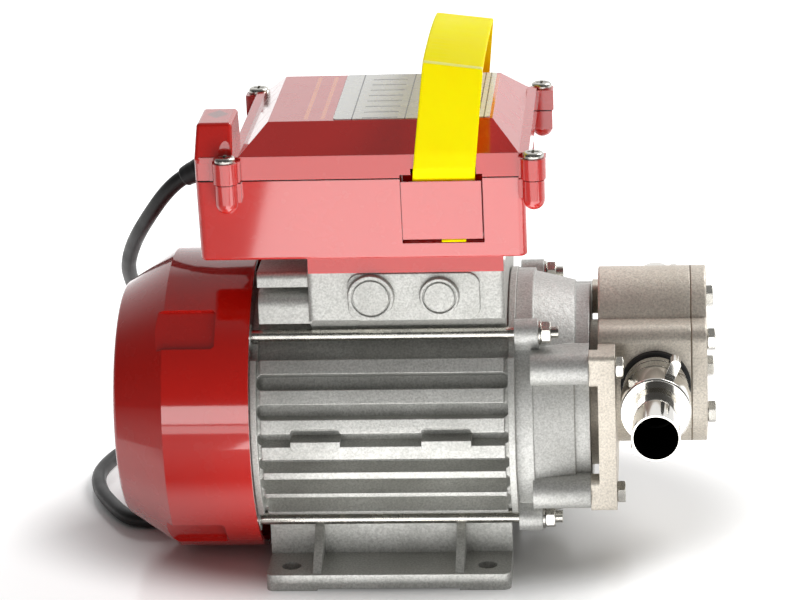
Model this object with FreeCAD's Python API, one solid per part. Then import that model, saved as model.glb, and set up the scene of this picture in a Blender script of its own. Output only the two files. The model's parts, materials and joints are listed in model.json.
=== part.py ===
import FreeCAD, Part
import math
import os

# Motor-driven gear pump. X runs along the motor axis towards the pump, +Z is up, and the floor
# is z = 0 under the feet. The origin is the centre of the foot hole pattern. Millimetres.

V = FreeCAD.Vector
X_AXIS, Y_AXIS, Z_AXIS = V(1, 0, 0), V(0, 1, 0), V(0, 0, 1)

# Clearances
running_gap = 0.05
seat_gap = 0.3
hole_gap = 0.25

# Feet
shaft_height = 63.0
foot_hole_spacing_x = 80.0
foot_hole_spacing_y = 100.0
foot_hole_d = 7.8
foot_end_margin = 9.7
foot_edge_margin = 9.5
foot_thickness = 7.0
foot_wall_y = 36.0
foot_wall_thickness = 3.2
foot_relief = 0.9
foot_corner_r = 3.0
gusset_thickness = 3.6
gusset_spacing = 58.0
gusset_rod_gap = 0.215
gusset_foot_rise = 0.4
gusset_toe = 1.5

# Motor housing
housing_length = 106.0
housing_bore_r = 45.0
housing_wall = 5.0
end_ring_length = 2.6
end_ring_extra_r = 2.4
fin_height = 8.0
fin_groove = 1.6
fin_groove_depth = 2.2
fin_angles = (31.1, 19.0, 7.2, -3.9, -14.2, -24.5, -35.9)
fin_widths = (5.8, 5.8, 5.8, 5.6, 3.2, 2.2, 1.8)
fin_pad_angles = (-3.1, 1.2)
fin_pad_notch_angle = 6.5
fin_pad_length = 20.0
fin_pad_spacing = 52.6
fin_pad_x = -0.8
fin_pad_rise = 0.8
fin_pad_notch_depth = 4.0
fin_pad_corner_r = 2.2

# Terminal turret on the housing
turret_x0 = -28.6
turret_end_setback = 3.3
turret_half_y = 45.0
turret_top_z = 131.0
turret_skirt_height = 20.0
turret_panel_x0 = -12.4
turret_panel_x1 = 40.0
turret_panel_rise = 0.9
turret_panel_drop = 0.6
knock_out_r = (9.1, 7.7)
knock_out_x = (-3.3, 24.0)
knock_out_drop = 10.0
knock_out_rise = 2.2
knock_out_flare = 0.3
knock_out_groove = 0.7
knuckle_end_setback = 4.0
knuckle_heights = ((109.0, 121.0), (124.4, 130.2))
knuckle_half_y = 43.0

# Tie rods
tie_rod_r = 2.5
tie_rod_y = 38.8
tie_rod_z = 39.6
nut_flats = 8.0
nut_height = 4.0
washer_r = 4.8
washer_thickness = 1.0
rod_stick_out = 3.0

# Shields
shield_ring_length = 7.0
shield_ring_r = 51.8
shield_taper_length = 16.4
shield_taper_r0 = 50.6
shield_taper_r1 = 46.6
shield_face_length = 6.1
shield_face_r = 45.0
shield_wall = 6.0
shield_lug_length = 9.6
shield_lug_r = 5.6
shield_spigot_length = 4.0
rear_shield_length = 9.0
rear_lug_length = 5.0
rear_lug_r = 4.9
rear_shield_face_r = 44.0
rear_shield_shoulder_r = 50.3

# Pump mounting bolts
pump_bolt_y = 45.2
pump_bolt_z = 26.5
pump_boss_r = 6.5
pump_bolt_r = 2.5
bolt_head_flats = 8.0
bolt_head_height = 3.4
pump_bolt_length = 20.0
cover_bolt_length = 18.0
bolt_hole_depth = 14.0

# Bearings
bearing_bore_r = 6.0
bearing_outer_r = 16.0
bearing_width = 10.0
bearing_race = 3.0
bearing_balls = 7
front_bearing_setback = 18.5
rear_bearing_outset = 6.0
wave_washer_thickness = 1.2

# Rotor and stator
core_length = 50.0
core_slots = 24
slot_width = 4.6
slot_depth = 9.0
slot_mouth_depth = 1.2
slot_mouth_width = 1.8
tooth_tip_r = 27.8
rotor_gap = 0.4
rotor_shaft_r = 9.0
cage_ring_length = 5.0
cage_ring_inner_r = 16.0
winding_overhang = 12.0
winding_outer_r = 42.0

# Fan and its cover
cover_r = 62.4
cover_wall = 2.0
cover_cylinder_length = 35.0
cover_cone_length = 22.0
cover_end_r = 48.0
cover_pocket_width = 17.3
cover_pocket_depth = 2.2
cover_pocket_length = 21.0
grille_slot = 3.2
grille_bar = 3.2
grille_hub_r = 9.0
grille_spokes = 8
fan_r = 44.0
fan_hub_r = 9.5
fan_blades = 8
fan_blade_thickness = 1.8
fan_disc_thickness = 2.0
fan_depth = 16.0
fan_to_end = 8.0
fan_shaft_r = 5.0
clip_thickness = 1.0
clip_r = 8.0

# Gear pump
pump_bolt_pad = 3.5
pump_flange_thickness = 7.0
pump_flange_margin_y = 5.2
pump_flange_margin_z = 6.5
pump_body_length = 37.2
pump_cover_thickness = 6.1
cover_gasket_thickness = 0.5
gear_module = 1.5
gear_teeth = 22
gear_width = 24.0
gear_bore_r = 5.5
pump_wall = 2.5
pump_lug_y = 27.5
pump_lug_z = 15.5
pump_lug_r = 6.5
pump_spigot_r = 30.0
pump_spigot_length = 3.0
idler_pin_r = 5.0
idler_bush_wall = 1.5
shaft_bush_wall = 2.5
key_width = 4.0
key_height = 4.0
key_length = 16.0
seal_outer_r = 12.0
seal_width = 7.0

# Ports, their unions and hose tails
port_setback = 14.2
port_drop = 1.0
port_bore_r = 8.0
port_seal_r = 14.1
port_seal_thickness = 2.6
port_socket_r = 10.5
port_socket_depth = 10.0
nipple_r = 12.2
nipple_collar_r = 13.2
nipple_collar_gap = 1.0
nipple_groove = 0.7
nipple_groove_offsets = (6.2, 12.6)
nipple_length = 23.4
union_r = 14.0
union_length = 14.5
union_mouth_r = 10.5
union_lip = 3.0
union_ear_r = 21.4
union_ear_width = 4.2
union_ear_length = 7.0
union_ear_angle = 24.0
union_ear_setback = 5.0
tail_r = 9.5
tail_wall = 0.9
tail_reach = 95.5
tail_collar_r = 11.7
tail_collar_length = 2.5
union_gasket_thickness = 1.5

# Electrical box
box_x0 = -56.4
box_x1 = 61.0
box_half_y = 50.1
box_draft = 3.4
box_floor_z = 137.0
box_parting_z = 170.6
box_wall = 2.5
box_edge_r = 3.0
box_floor_edge_r = 1.4
base_step = 1.7
base_end_recess = 2.4
base_rim_height = 4.0
base_post_depth = 6.0
column_x0 = -70.4
column_y1 = -20.5
box_plinth_x0 = -28.0
box_plinth_x1 = 49.8
box_plinth_half_y = 46.2
box_gasket_thickness = 0.5
box_gasket_inset = 0.8
wire_hole_r = 9.0
lid_skirt_z = 180.6
lid_top_z = 190.7
lid_ridge_x0 = -52.8
lid_crown_x1 = 57.2
lid_top_inset_x = 10.6
lid_top_inset_y = 14.9
tower_length_x = 15.2
tower_z = 193.6
tower_draft_x = 1.3
tower_draft_y = 3.5
tower_end_r = 1.6
screw_wall_offset = 2.7
screw_front_offset = -1.4
screw_rear_offset = 0.2
screw_right_offset = 1.8
lid_boss_r = 5.0
base_boss_r = 4.4
boss_web_reach = 5.8
base_boss_drop = 12.2
lid_boss_drop = 1.1
screw_hole_rest = 3.0
label_recess_offset = 1.3
label_recess_length = 4.7
label_recess_drop = 2.4
label_recess_depth = 0.5
screw_r = 1.9
screw_head_r = 4.2
screw_head_height = 2.2
plate_x0 = -16.4
plate_x1 = 45.4
plate_half_y = 34.2
plate_thickness = 0.4

# Carry strap
strap_x0 = 15.2
strap_width = 24.5
strap_thickness = 1.6
strap_hinge_z = 170.0
strap_peak_z = 218.6
strap_front_z = 217.4
strap_rear_z = 213.8
strap_shoulder_y = 47.6
strap_lean_left = 0.118
strap_lean_right = 0.102
strap_right_scale = 0.93
strap_bend_height = 5.0
strap_end_z = 147.0
strap_notch_height = 3.7
strap_clip_gap = 0.3
tongue_x = 30.6
tongue_width = 9.6
tongue_thickness = 1.0
pocket_x0 = 10.3
pocket_x1 = 42.7
pocket_bottom_z = 143.4
pocket_depth = 6.8
pocket_wall = 2.4
pocket_slot_height = 1.2
clip_plate_thickness = 1.2
clip_side_gap = 0.6
clip_inset = 0.1
clip_bottom_gap = 1.6

# Parts inside the box
capacitor_r = 15.0
capacitor_length = 62.0
capacitor_x0 = -16.0
capacitor_y = -22.0
terminal_block_size = (40.0, 16.0, 13.0)
terminal_block_x = 4.0
terminal_block_y = 18.0

# Rocker switch in the left end of the box, behind the column
switch_y = -6.8
switch_z = 155.5
switch_length = 21.0
switch_height = 15.0
switch_depth = 18.0
switch_rim = 1.6
switch_tab_spacing = 6.0
rocker_length = 15.5
rocker_height = 9.0
rocker_rise = 2.6
rocker_pin_r = 1.2
rocker_pin_depth = 2.2

# Power cord
cord_r = 3.25
gland_y = 14.0
gland_z = 158.5
gland_r = 6.2
gland_flange_r = 8.2
gland_flange_thickness = 2.2
gland_length = 18.38
plug_r = 18.0
plug_length = 34.0
plug_tail_length = 16.0
plug_pin_r = 2.4
plug_pin_length = 19.0
plug_pin_spacing = 19.0
plug_turn = -45.0
coil_mean_r = 36.0
coil_x = -28.0
coil_y = 124.0

# Dependent sizes
housing_end = housing_length / 2
housing_root_r = housing_bore_r + housing_wall
fin_tip_r = housing_root_r + fin_height
turret_x1 = housing_end - turret_end_setback
knuckle_x0 = -housing_end + knuckle_end_setback
foot_half_x = foot_hole_spacing_x / 2 + foot_end_margin
foot_half_y = foot_hole_spacing_y / 2 + foot_edge_margin
ring_end_x = housing_end + shield_ring_length
taper_end_x = ring_end_x + shield_taper_length
face_x = taper_end_x + shield_face_length
flange_x0 = face_x + pump_bolt_pad
flange_x1 = flange_x0 + pump_flange_thickness
pump_x1 = flange_x0 + pump_body_length
port_x = pump_x1 - port_setback
pump_gasket_x1 = pump_x1 + cover_gasket_thickness
pump_cover_x1 = pump_gasket_x1 + pump_cover_thickness
gear_pitch_r = gear_module * gear_teeth / 2
gear_tip_r = gear_pitch_r + gear_module
gear_root_r = gear_pitch_r - 1.25 * gear_module
chamber_r = gear_tip_r + running_gap
pump_round_r = gear_tip_r + pump_wall
idler_z = shaft_height + 2 * gear_pitch_r
pump_mid_z = (shaft_height + idler_z) / 2
port_z = pump_mid_z - port_drop
port_face_y = pump_lug_y + pump_lug_r
nipple_y0 = port_face_y + port_seal_thickness
nipple_y1 = nipple_y0 + nipple_length
tail_y0 = nipple_y1 + union_gasket_thickness
union_y1 = tail_y0 + tail_collar_length + union_lip
union_y0 = union_y1 - union_length
gear_x1 = pump_x1 - running_gap
gear_x0 = gear_x1 - gear_width
chamber_x0 = gear_x0 - running_gap
tie_rod_spots = [(s * tie_rod_y, shaft_height + t * tie_rod_z) for s in (-1, 1) for t in (-1, 1)]
pump_bolt_spots = [(s * pump_bolt_y, shaft_height + t * pump_bolt_z) for s in (-1, 1) for t in (-1, 1)]
pump_lug_spots = [(s * pump_lug_y, pump_mid_z + t * pump_lug_z) for s in (-1, 1) for t in (-1, 1)]
rear_shield_x = -housing_end - rear_shield_length
front_bearing_x = face_x - front_bearing_setback
rear_bearing_x = rear_shield_x - rear_bearing_outset
front_bearing_end = front_bearing_x + bearing_width
rear_lug_x = -housing_end - rear_lug_length
cover_x0 = -housing_end - cover_cylinder_length - cover_cone_length
cover_inner_r = cover_r - cover_wall
cover_knee_x = -housing_end - cover_cylinder_length
fan_x0 = cover_x0 + cover_wall + fan_to_end
fan_x1 = fan_x0 + fan_depth
lid_parting_z = box_parting_z + box_gasket_thickness
box_screw_y = box_half_y + screw_wall_offset
box_screw_spots = [(box_x0 + screw_front_offset, -box_screw_y), (box_x0 + screw_rear_offset, box_screw_y),
                   (box_x1 + screw_right_offset, -box_screw_y), (box_x1 + screw_right_offset, box_screw_y)]
lid_boss_z = lid_skirt_z - lid_boss_drop
base_x1 = box_x1 - base_step
box_inner_x1 = lid_crown_x1 - box_wall
end_panel_x = box_x0
clip_top_z = box_parting_z - pocket_slot_height
strap_outer_y = box_half_y + seat_gap + strap_thickness
box_bottom_half_y = box_half_y - box_draft
gusset_foot_y = foot_half_y - gusset_toe
gusset_foot_z = foot_thickness + gusset_foot_rise


def point(x, y, z):
    return V(float(x), float(y), float(z))


def block(x0, x1, y0, y1, z0, z1):
    return Part.makeBox(x1 - x0, y1 - y0, z1 - z0, point(x0, y0, z0))


def rod_x(r, x0, x1, y=0.0, z=shaft_height):
    return Part.makeCylinder(r, x1 - x0, point(x0, y, z), X_AXIS)


def rod_y(r, y0, y1, x, z):
    return Part.makeCylinder(r, y1 - y0, point(x, y0, z), Y_AXIS)


def rod_z(r, z0, z1, x, y):
    return Part.makeCylinder(r, z1 - z0, point(x, y, z0), Z_AXIS)


def ring_x(r_out, r_in, x0, x1, y=0.0, z=shaft_height):
    return rod_x(r_out, x0, x1, y, z).cut(rod_x(r_in, x0 - 1, x1 + 1, y, z))


def ring_y(r_out, r_in, y0, y1, x, z):
    return rod_y(r_out, y0, y1, x, z).cut(rod_y(r_in, y0 - 1, y1 + 1, x, z))


def cone_x(r0, r1, x0, x1, y=0.0, z=shaft_height):
    return Part.makeCone(r0, r1, x1 - x0, point(x0, y, z), X_AXIS)


def prism(points, direction):
    wire = Part.makePolygon([*points, points[0]])
    return Part.Face(wire).extrude(direction)


def prism_yz(pairs, x0, x1):
    return prism([point(x0, y, z) for y, z in pairs], V(x1 - x0, 0, 0))


def hexagon_x(flats, x0, x1, y, z):
    corner = flats / math.sqrt(3)
    angles = [math.radians(30 + 60 * i) for i in range(6)]
    pairs = [(y + corner * math.cos(a), z + corner * math.sin(a)) for a in angles]
    return prism_yz(pairs, x0, x1)


def chamfered_hexagon_x(flats, x0, x1, y, z):
    # A hexagon with the usual 30 degree chamfer at both ends.
    length, end_r = x1 - x0, 0.475 * flats
    wide_r = end_r + length * math.tan(math.radians(60))
    whole = hexagon_x(flats, x0, x1, y, z)
    return whole.common(cone_x(wide_r, end_r, x0, x1, y, z)).common(cone_x(end_r, wide_r, x0, x1, y, z))


def fuse(shapes):
    first, rest = shapes[0], list(shapes[1:])
    return first.multiFuse(rest).removeSplitter() if rest else first


def cut(shape, tools):
    for tool in tools:
        shape = shape.cut(tool)
    return shape


def mirrored_y(shape):
    return shape.mirror(point(0, 0, 0), Y_AXIS)


def both_sides(shape):
    return [shape, mirrored_y(shape)]


def about_motor(shape, angle):
    turned = shape.copy()
    turned.rotate(point(0, 0, shaft_height), X_AXIS, angle)
    return turned


def sector(r0, r1, x0, x1, low, high):
    # A piece of a ring round the motor axis, between two angles above the horizontal on the -Y side.
    corners = [(x0, r0), (x1, r0), (x1, r1), (x0, r1)]
    points = [point(x, -r, shaft_height) for x, r in corners]
    face = Part.Face(Part.makePolygon([*points, points[0]]))
    centre = point(0, 0, shaft_height)
    face.rotate(centre, X_AXIS, -low)
    return face.revolve(centre, X_AXIS, low - high)


def round_edges(shape, r, chosen):
    edges = [e for e in shape.Edges if chosen(e)]
    return shape.makeFillet(r, edges)


def along(edge, axis):
    if not isinstance(edge.Curve, (Part.Line, Part.LineSegment)):
        return False
    return abs(edge.tangentAt(edge.FirstParameter).dot(axis)) > 0.999


def rounded_block(x0, x1, y0, y1, z0, z1, r, axis):
    return round_edges(block(x0, x1, y0, y1, z0, z1), r, lambda e: along(e, axis))


def save(name, shape):
    solids = shape.Solids
    ok = all(s.isValid() for s in solids)
    volume = sum(s.Volume for s in solids)
    print(f"{name}: {len(solids)} solid(s), {volume / 1000:.2f} cm3, valid {ok}")
    whole = solids[0] if len(solids) == 1 else Part.makeCompound(solids)
    whole.exportStep(f"parts/{name}.step")


# Motor housing: finned tube, two feet, terminal turret

def fin_edges():
    spans = []
    for angle, width in zip(fin_angles, fin_widths):
        half = math.degrees(width / 2 / fin_tip_r)
        spans.append((angle - half, angle + half))
    return spans


def fin_bank():
    spans = fin_edges()
    low, high = spans[-1][0], spans[0][1]
    bank = sector(housing_root_r - 1, fin_tip_r, -housing_end, housing_end, low, high)
    x0 = -housing_end + end_ring_length
    x1 = housing_end - end_ring_length
    tools = []
    for upper, lower in zip(spans, spans[1:]):
        gap = sector(housing_root_r, fin_tip_r + 1, x0, x1, lower[1], upper[0])
        radial = [e for e in gap.Edges if is_radial(e)]
        width = math.radians(upper[0] - lower[1]) * housing_root_r
        tools.append(gap.makeFillet(0.42 * width, radial))
    groove_r = fin_tip_r - fin_groove_depth
    for x in (x0, x1 - fin_groove):
        tools.append(ring_x(fin_tip_r + 1, groove_r, x, x + fin_groove))
    notch_r, notch_start = fin_tip_r - fin_pad_notch_depth, fin_pad_angles[1]
    tools += fin_pad_spans(notch_r, fin_tip_r + 1, notch_start, fin_pad_notch_angle, 1)
    pads = fin_pad_spans(housing_root_r - 1, fin_tip_r + fin_pad_rise, *fin_pad_angles, -1)
    return fuse([cut(bank, tools), *pads])


def is_radial(edge):
    if not isinstance(edge.Curve, (Part.Line, Part.LineSegment)):
        return False
    mid = edge.valueAt((edge.FirstParameter + edge.LastParameter) / 2)
    out = V(0, mid.y, mid.z - shaft_height)
    out.normalize()
    return abs(edge.tangentAt(edge.FirstParameter).dot(out)) > 0.999


def fin_pad_spans(r0, r1, low, high, round_end):
    # Two spans of a fin, with rounded corners at their upper (1) or lower (-1) end.
    middle_z = shaft_height + r1 * math.sin(math.radians((low + high) / 2))
    spans = []
    for side in (-1, 1):
        middle = fin_pad_x + side * fin_pad_spacing / 2
        span = sector(r0, r1, middle - fin_pad_length / 2, middle + fin_pad_length / 2, low, high)
        ends = [e for e in span.Edges if is_radial(e) and (e.CenterOfMass.z - middle_z) * round_end > 0]
        spans.append(span.makeFillet(fin_pad_corner_r, ends))
    return spans


def gusset_slope():
    # Rise per length of the gusset's top edge, which passes just below the tie rod.
    across, up = gusset_foot_y - tie_rod_y, shaft_height - tie_rod_z - gusset_foot_z
    clear = math.asin((tie_rod_r + gusset_rod_gap) / math.hypot(across, up))
    return math.tan(math.atan2(up, across) - clear)


def foot():
    x, y1 = foot_half_x, -foot_wall_y + foot_wall_thickness
    plate = rounded_block(-x, x, -foot_half_y, y1, 0, foot_thickness, foot_corner_r, Z_AXIS)
    top = shaft_height - math.sqrt(housing_root_r ** 2 - foot_wall_y ** 2) + 2
    wall = block(-x, x, -foot_wall_y, y1, 0, top)
    shapes = [plate, wall]
    for side in (-1, 1):
        x = side * gusset_spacing / 2
        z1 = gusset_foot_z + gusset_slope() * (gusset_foot_y - foot_wall_y)
        slope = [(-foot_wall_y + 1, 1), (-foot_wall_y + 1, z1), (-foot_wall_y, z1),
                 (-gusset_foot_y, gusset_foot_z), (-gusset_foot_y, 1)]
        shapes.append(prism_yz(slope, x - gusset_thickness / 2, x + gusset_thickness / 2))
    tools = [block(-gusset_spacing / 2, gusset_spacing / 2, -foot_half_y - 1, y1 + 1, -1, foot_relief)]
    for side in (-1, 1):
        spot = (side * foot_hole_spacing_x / 2, -foot_hole_spacing_y / 2)
        tools.append(rod_z(foot_hole_d / 2, -1, foot_thickness + 3, *spot))
    return cut(fuse(shapes), tools)


def turret():
    z0 = turret_top_z - turret_skirt_height
    y = turret_half_y
    slope_y, slope_z = 0.62 * y, z0 - 0.6 * turret_skirt_height
    outline = [(-y, z0), (-y, turret_top_z), (y, turret_top_z), (y, z0),
               (slope_y, slope_z), (-slope_y, slope_z)]
    whole = prism_yz(outline, turret_x0, turret_x1)
    whole = round_edges(whole, 2.0, lambda e: along(e, Z_AXIS))
    root_y, root_z = 0.5 * y, shaft_height + 0.7 * housing_root_r
    pieces = [whole, block(knuckle_x0, turret_x0 + 1, -root_y, root_y, root_z, turret_top_z - 1)]
    pieces += [knuckle(z_low, z_high) for z_low, z_high in knuckle_heights]
    return fuse(pieces)


def knuckle(z_low, z_high):
    ear = block(knuckle_x0, turret_x0 + 1, -knuckle_half_y, knuckle_half_y, z_low, z_high)
    r = 0.45 * (z_high - z_low)
    return round_edges(ear, r, lambda e: along(e, X_AXIS) and e.CenterOfMass.z > z_low + 1)


def turret_face():
    z0 = turret_top_z - turret_skirt_height
    y0, y1 = -turret_half_y - turret_panel_rise, -turret_half_y + 1
    panel_z1 = turret_top_z - turret_panel_drop
    panel = rounded_block(turret_panel_x0, turret_panel_x1, y0, y1, z0, panel_z1, 5.0, Y_AXIS)
    shapes, tools = [panel], []
    z = turret_top_z - knock_out_drop
    for x, r in zip(knock_out_x, knock_out_r):
        front = y0 - knock_out_rise
        shapes.append(Part.makeCone(r, r + knock_out_flare, knock_out_rise, point(x, front, z), Y_AXIS))
        shapes.append(rod_y(r + knock_out_flare, y0, -turret_half_y + 6, x, z))
        ring_r = 0.78 * r
        tools.append(ring_y(ring_r + knock_out_groove, ring_r, front - 1, front + 0.8, x, z))
    return cut(fuse(shapes), tools)


def motor_housing():
    tube = rod_x(housing_root_r, -housing_end, housing_end)
    rings = [rod_x(housing_root_r + end_ring_extra_r, -housing_end, -housing_end + end_ring_length),
             rod_x(housing_root_r + end_ring_extra_r, housing_end - end_ring_length, housing_end)]
    sides = [*both_sides(fin_bank()), *both_sides(foot()), *both_sides(turret_face())]
    whole = fuse([tube, *rings, turret(), *sides])
    tools = [rod_x(housing_bore_r, -housing_end - 1, housing_end + 1)]
    for y, z in tie_rod_spots:
        if z > shaft_height:
            tools.append(rod_x(tie_rod_r + 1.2, -housing_end - 1, housing_end + 1, y, z))
    wire_x = (turret_x0 + turret_x1) / 2
    tools.append(rod_z(wire_hole_r, shaft_height, turret_top_z + 1, wire_x, 0))
    return cut(whole, tools)


# Shields, tie rods and bearings

def lug(r, x0, x1, y, z):
    inward = V(0, -y, shaft_height - z)
    inward.normalize()
    side = V(0, -inward.z, inward.y)
    centre = point(x0, y, z)
    a = centre + side * r
    b = centre - side * r
    reach = inward * (0.3 * housing_root_r)
    web = prism([a, b, b + reach, a + reach], V(x1 - x0, 0, 0))
    return fuse([rod_x(r, x0, x1, y, z), web])


def front_shield():
    ring = rod_x(shield_ring_r, housing_end, ring_end_x)
    body = cone_x(shield_taper_r0, shield_taper_r1, ring_end_x, taper_end_x)
    face = rod_x(shield_face_r, taper_end_x, face_x)
    spigot = rod_x(housing_bore_r - running_gap, housing_end - shield_spigot_length, housing_end)
    lugs = [lug(shield_lug_r, housing_end, housing_end + shield_lug_length, y, z) for y, z in tie_rod_spots]
    bosses = [pump_boss(y, z) for y, z in pump_bolt_spots]
    whole = fuse([ring, body, face, spigot, *lugs, *bosses])
    inner_r, inner_x = housing_bore_r - shield_wall, housing_end - shield_spigot_length - 1
    tools = [cone_x(inner_r, bearing_outer_r + 6, inner_x, front_bearing_x + 1)]
    tools.append(rod_x(bearing_outer_r, front_bearing_x - 10, front_bearing_end))
    tools.append(rod_x(bearing_bore_r + 2, front_bearing_end - 1, face_x + 1))
    tools.append(rod_x(pump_spigot_r + running_gap, face_x - pump_spigot_length - 0.5, face_x + 1))
    lug_end = housing_end + shield_lug_length
    tools += [rod_x(tie_rod_r + hole_gap, housing_end - 9, lug_end + 1, y, z) for y, z in tie_rod_spots]
    tools += [rod_x(pump_bolt_r, face_x - bolt_hole_depth, face_x + 1, y, z) for y, z in pump_bolt_spots]
    return cut(whole, tools)


def pump_boss(y, z):
    x0 = ring_end_x - 0.8
    tip = rod_x(pump_boss_r, x0, face_x, y, z)
    root_y = y - 12 if y > 0 else y + 12
    web = block(x0, face_x, min(y, root_y), max(y, root_y), z - pump_boss_r, z + pump_boss_r)
    return fuse([tip, web])


def rear_shield():
    plate = cone_x(rear_shield_face_r, rear_shield_shoulder_r, rear_shield_x, rear_lug_x)
    rim = rod_x(shield_ring_r, rear_lug_x, -housing_end)
    hub = rod_x(bearing_outer_r + 4, rear_bearing_x - 3, rear_shield_x)
    spigot = rod_x(housing_bore_r - running_gap, -housing_end, -housing_end + shield_spigot_length)
    lugs = [lug(rear_lug_r, rear_lug_x, -housing_end, y, z) for y, z in tie_rod_spots]
    whole = fuse([plate, rim, hub, spigot, *lugs])
    inner_x = -housing_end + shield_spigot_length + 1
    tools = [rod_x(housing_bore_r - shield_wall, rear_shield_x + 4, inner_x)]
    tools.append(rod_x(bearing_outer_r, rear_bearing_x - wave_washer_thickness, -housing_end + 20))
    tools.append(rod_x(bearing_bore_r + 1.5, rear_bearing_x - 6, rear_bearing_x))
    tools += [rod_x(tie_rod_r + hole_gap, rear_lug_x - 1, -housing_end + 9, y, z) for y, z in tie_rod_spots]
    return cut(whole, tools)


def tie_rod_ends():
    front = housing_end + shield_lug_length + washer_thickness + nut_height + rod_stick_out
    rear = rear_lug_x - washer_thickness - nut_height - 0.6 * rod_stick_out
    return rear, front


def tie_rods():
    rear, front = tie_rod_ends()
    return Part.makeCompound([rod_x(tie_rod_r, rear, front, y, z) for y, z in tie_rod_spots])


def tie_rod_washers():
    front = housing_end + shield_lug_length
    starts = (front, rear_lug_x - washer_thickness)
    spots = [(x, y, z) for x in starts for y, z in tie_rod_spots]
    return Part.makeCompound([ring_x(washer_r, tie_rod_r, x, x + washer_thickness, y, z) for x, y, z in spots])


def tie_rod_nuts():
    front = housing_end + shield_lug_length + washer_thickness
    starts = (front, rear_lug_x - washer_thickness - nut_height)
    nuts = []
    for x in starts:
        for y, z in tie_rod_spots:
            nut = chamfered_hexagon_x(nut_flats, x, x + nut_height, y, z)
            nuts.append(nut.cut(rod_x(tie_rod_r, x - 1, x + nut_height + 1, y, z)))
    return Part.makeCompound(nuts)


def ball_track_r():
    return (bearing_bore_r + bearing_outer_r) / 2


def ball_r():
    return (bearing_outer_r - bearing_bore_r) / 2 - bearing_race + 1.2


def race(r_out, r_in, x0):
    centre = point(x0 + bearing_width / 2, 0, shaft_height)
    track = Part.makeTorus(ball_track_r(), ball_r() + running_gap, centre, X_AXIS)
    return ring_x(r_out, r_in, x0, x0 + bearing_width).cut(track)


def outer_race(x0):
    return race(bearing_outer_r, bearing_outer_r - bearing_race, x0)


def inner_race(x0):
    return race(bearing_bore_r + bearing_race, bearing_bore_r, x0)


def ball_set(x0):
    centre_x = x0 + bearing_width / 2
    cage = ring_x(ball_track_r() + 0.7, ball_track_r() - 0.7, centre_x - 2.4, centre_x + 2.4)
    balls = []
    for i in range(bearing_balls):
        a = 2 * math.pi * i / bearing_balls
        centre = point(centre_x, ball_track_r() * math.cos(a), shaft_height + ball_track_r() * math.sin(a))
        balls.append(Part.makeSphere(ball_r(), centre))
    return fuse([cage, *balls])


def wave_washer():
    x0 = rear_bearing_x - wave_washer_thickness
    return ring_x(bearing_outer_r - 0.3, bearing_outer_r - 3, x0, rear_bearing_x)


# Stator and rotor

def slot_tools(r0, width, x0, x1, depth):
    tools = []
    for i in range(core_slots):
        tool = block(x0, x1, -r0 - depth, -r0, shaft_height - width / 2, shaft_height + width / 2)
        tools.append(about_motor(tool, 360 * i / core_slots))
    return tools


def stator_core():
    half = core_length / 2
    core = ring_x(housing_bore_r, tooth_tip_r, -half, half)
    start = tooth_tip_r + slot_mouth_depth
    slots = slot_tools(start, slot_width, -half - 1, half + 1, slot_depth)
    mouths = slot_tools(tooth_tip_r - 1, slot_mouth_width, -half - 1, half + 1, slot_mouth_depth + 2)
    return cut(core, [Part.makeCompound(slots), Part.makeCompound(mouths)])


def stator_windings():
    half = core_length / 2
    start = tooth_tip_r + slot_mouth_depth + 0.3
    bars = slot_tools(start, slot_width - 0.6, -half - 1.5, half + 1.5, slot_depth - 0.6)
    inner_r = start + 0.2
    heads = []
    for x0 in (-half - 1 - winding_overhang, half + 1):
        head = ring_x(winding_outer_r, inner_r, x0, x0 + winding_overhang)
        heads.append(round_edges(head, 2.5, lambda e: isinstance(e.Curve, Part.Circle)))
    return fuse([*heads, *bars])


def motor_shaft():
    half = core_length / 2
    middle = rod_x(rotor_shaft_r, -half - cage_ring_length - 6, half + cage_ring_length + 6)
    journals = rod_x(bearing_bore_r, rear_bearing_x, front_bearing_end)
    front = rod_x(gear_bore_r, front_bearing_end, pump_x1 - 1)
    rear = rod_x(fan_shaft_r, fan_x0 - 3, rear_bearing_x)
    key_slot = block(gear_x0 + 3, gear_x0 + 3 + key_length, -key_width / 2, key_width / 2,
                     shaft_height + gear_bore_r - key_height / 2, shaft_height + gear_bore_r + 3)
    clip_slot = ring_x(fan_shaft_r + 1, fan_shaft_r - 0.8, fan_x0 - clip_thickness - 0.1, fan_x0)
    return cut(fuse([middle, journals, front, rear]), [key_slot, clip_slot])


def rotor_core():
    half = core_length / 2
    return ring_x(tooth_tip_r - rotor_gap, rotor_shaft_r, -half, half)


def rotor_cage():
    half = core_length / 2
    r_out = tooth_tip_r - rotor_gap - 1
    rings = []
    for x0, outward in ((half, 1), (-half - cage_ring_length, -1)):
        ring = ring_x(r_out, cage_ring_inner_r, x0, x0 + cage_ring_length)
        tip_x = x0 + cage_ring_length if outward > 0 else x0 - 5
        vanes = []
        y0, y1 = -r_out + 0.5, -cage_ring_inner_r - 1
        for i in range(8):
            vane = block(tip_x - 1, tip_x + 6, y0, y1, shaft_height - 1, shaft_height + 1)
            vanes.append(about_motor(vane, 45 * i))
        rings.append(fuse([ring, *vanes]))
    return Part.makeCompound(rings)


# Fan, cover and grille

def fan_blade(i):
    x0 = fan_x0 + 1
    blade = block(x0, fan_x1, -fan_r, -fan_hub_r + 1, shaft_height - fan_blade_thickness / 2,
                  shaft_height + fan_blade_thickness / 2)
    return about_motor(blade, 360 * i / fan_blades)


def cooling_fan():
    hub = rod_x(fan_hub_r, fan_x0, fan_x1)
    disc = rod_x(fan_r - 4, fan_x1 - fan_disc_thickness, fan_x1)
    whole = fuse([hub, disc, *[fan_blade(i) for i in range(fan_blades)]])
    return whole.cut(rod_x(fan_shaft_r, fan_x0 - 1, fan_x1 + 1))


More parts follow.
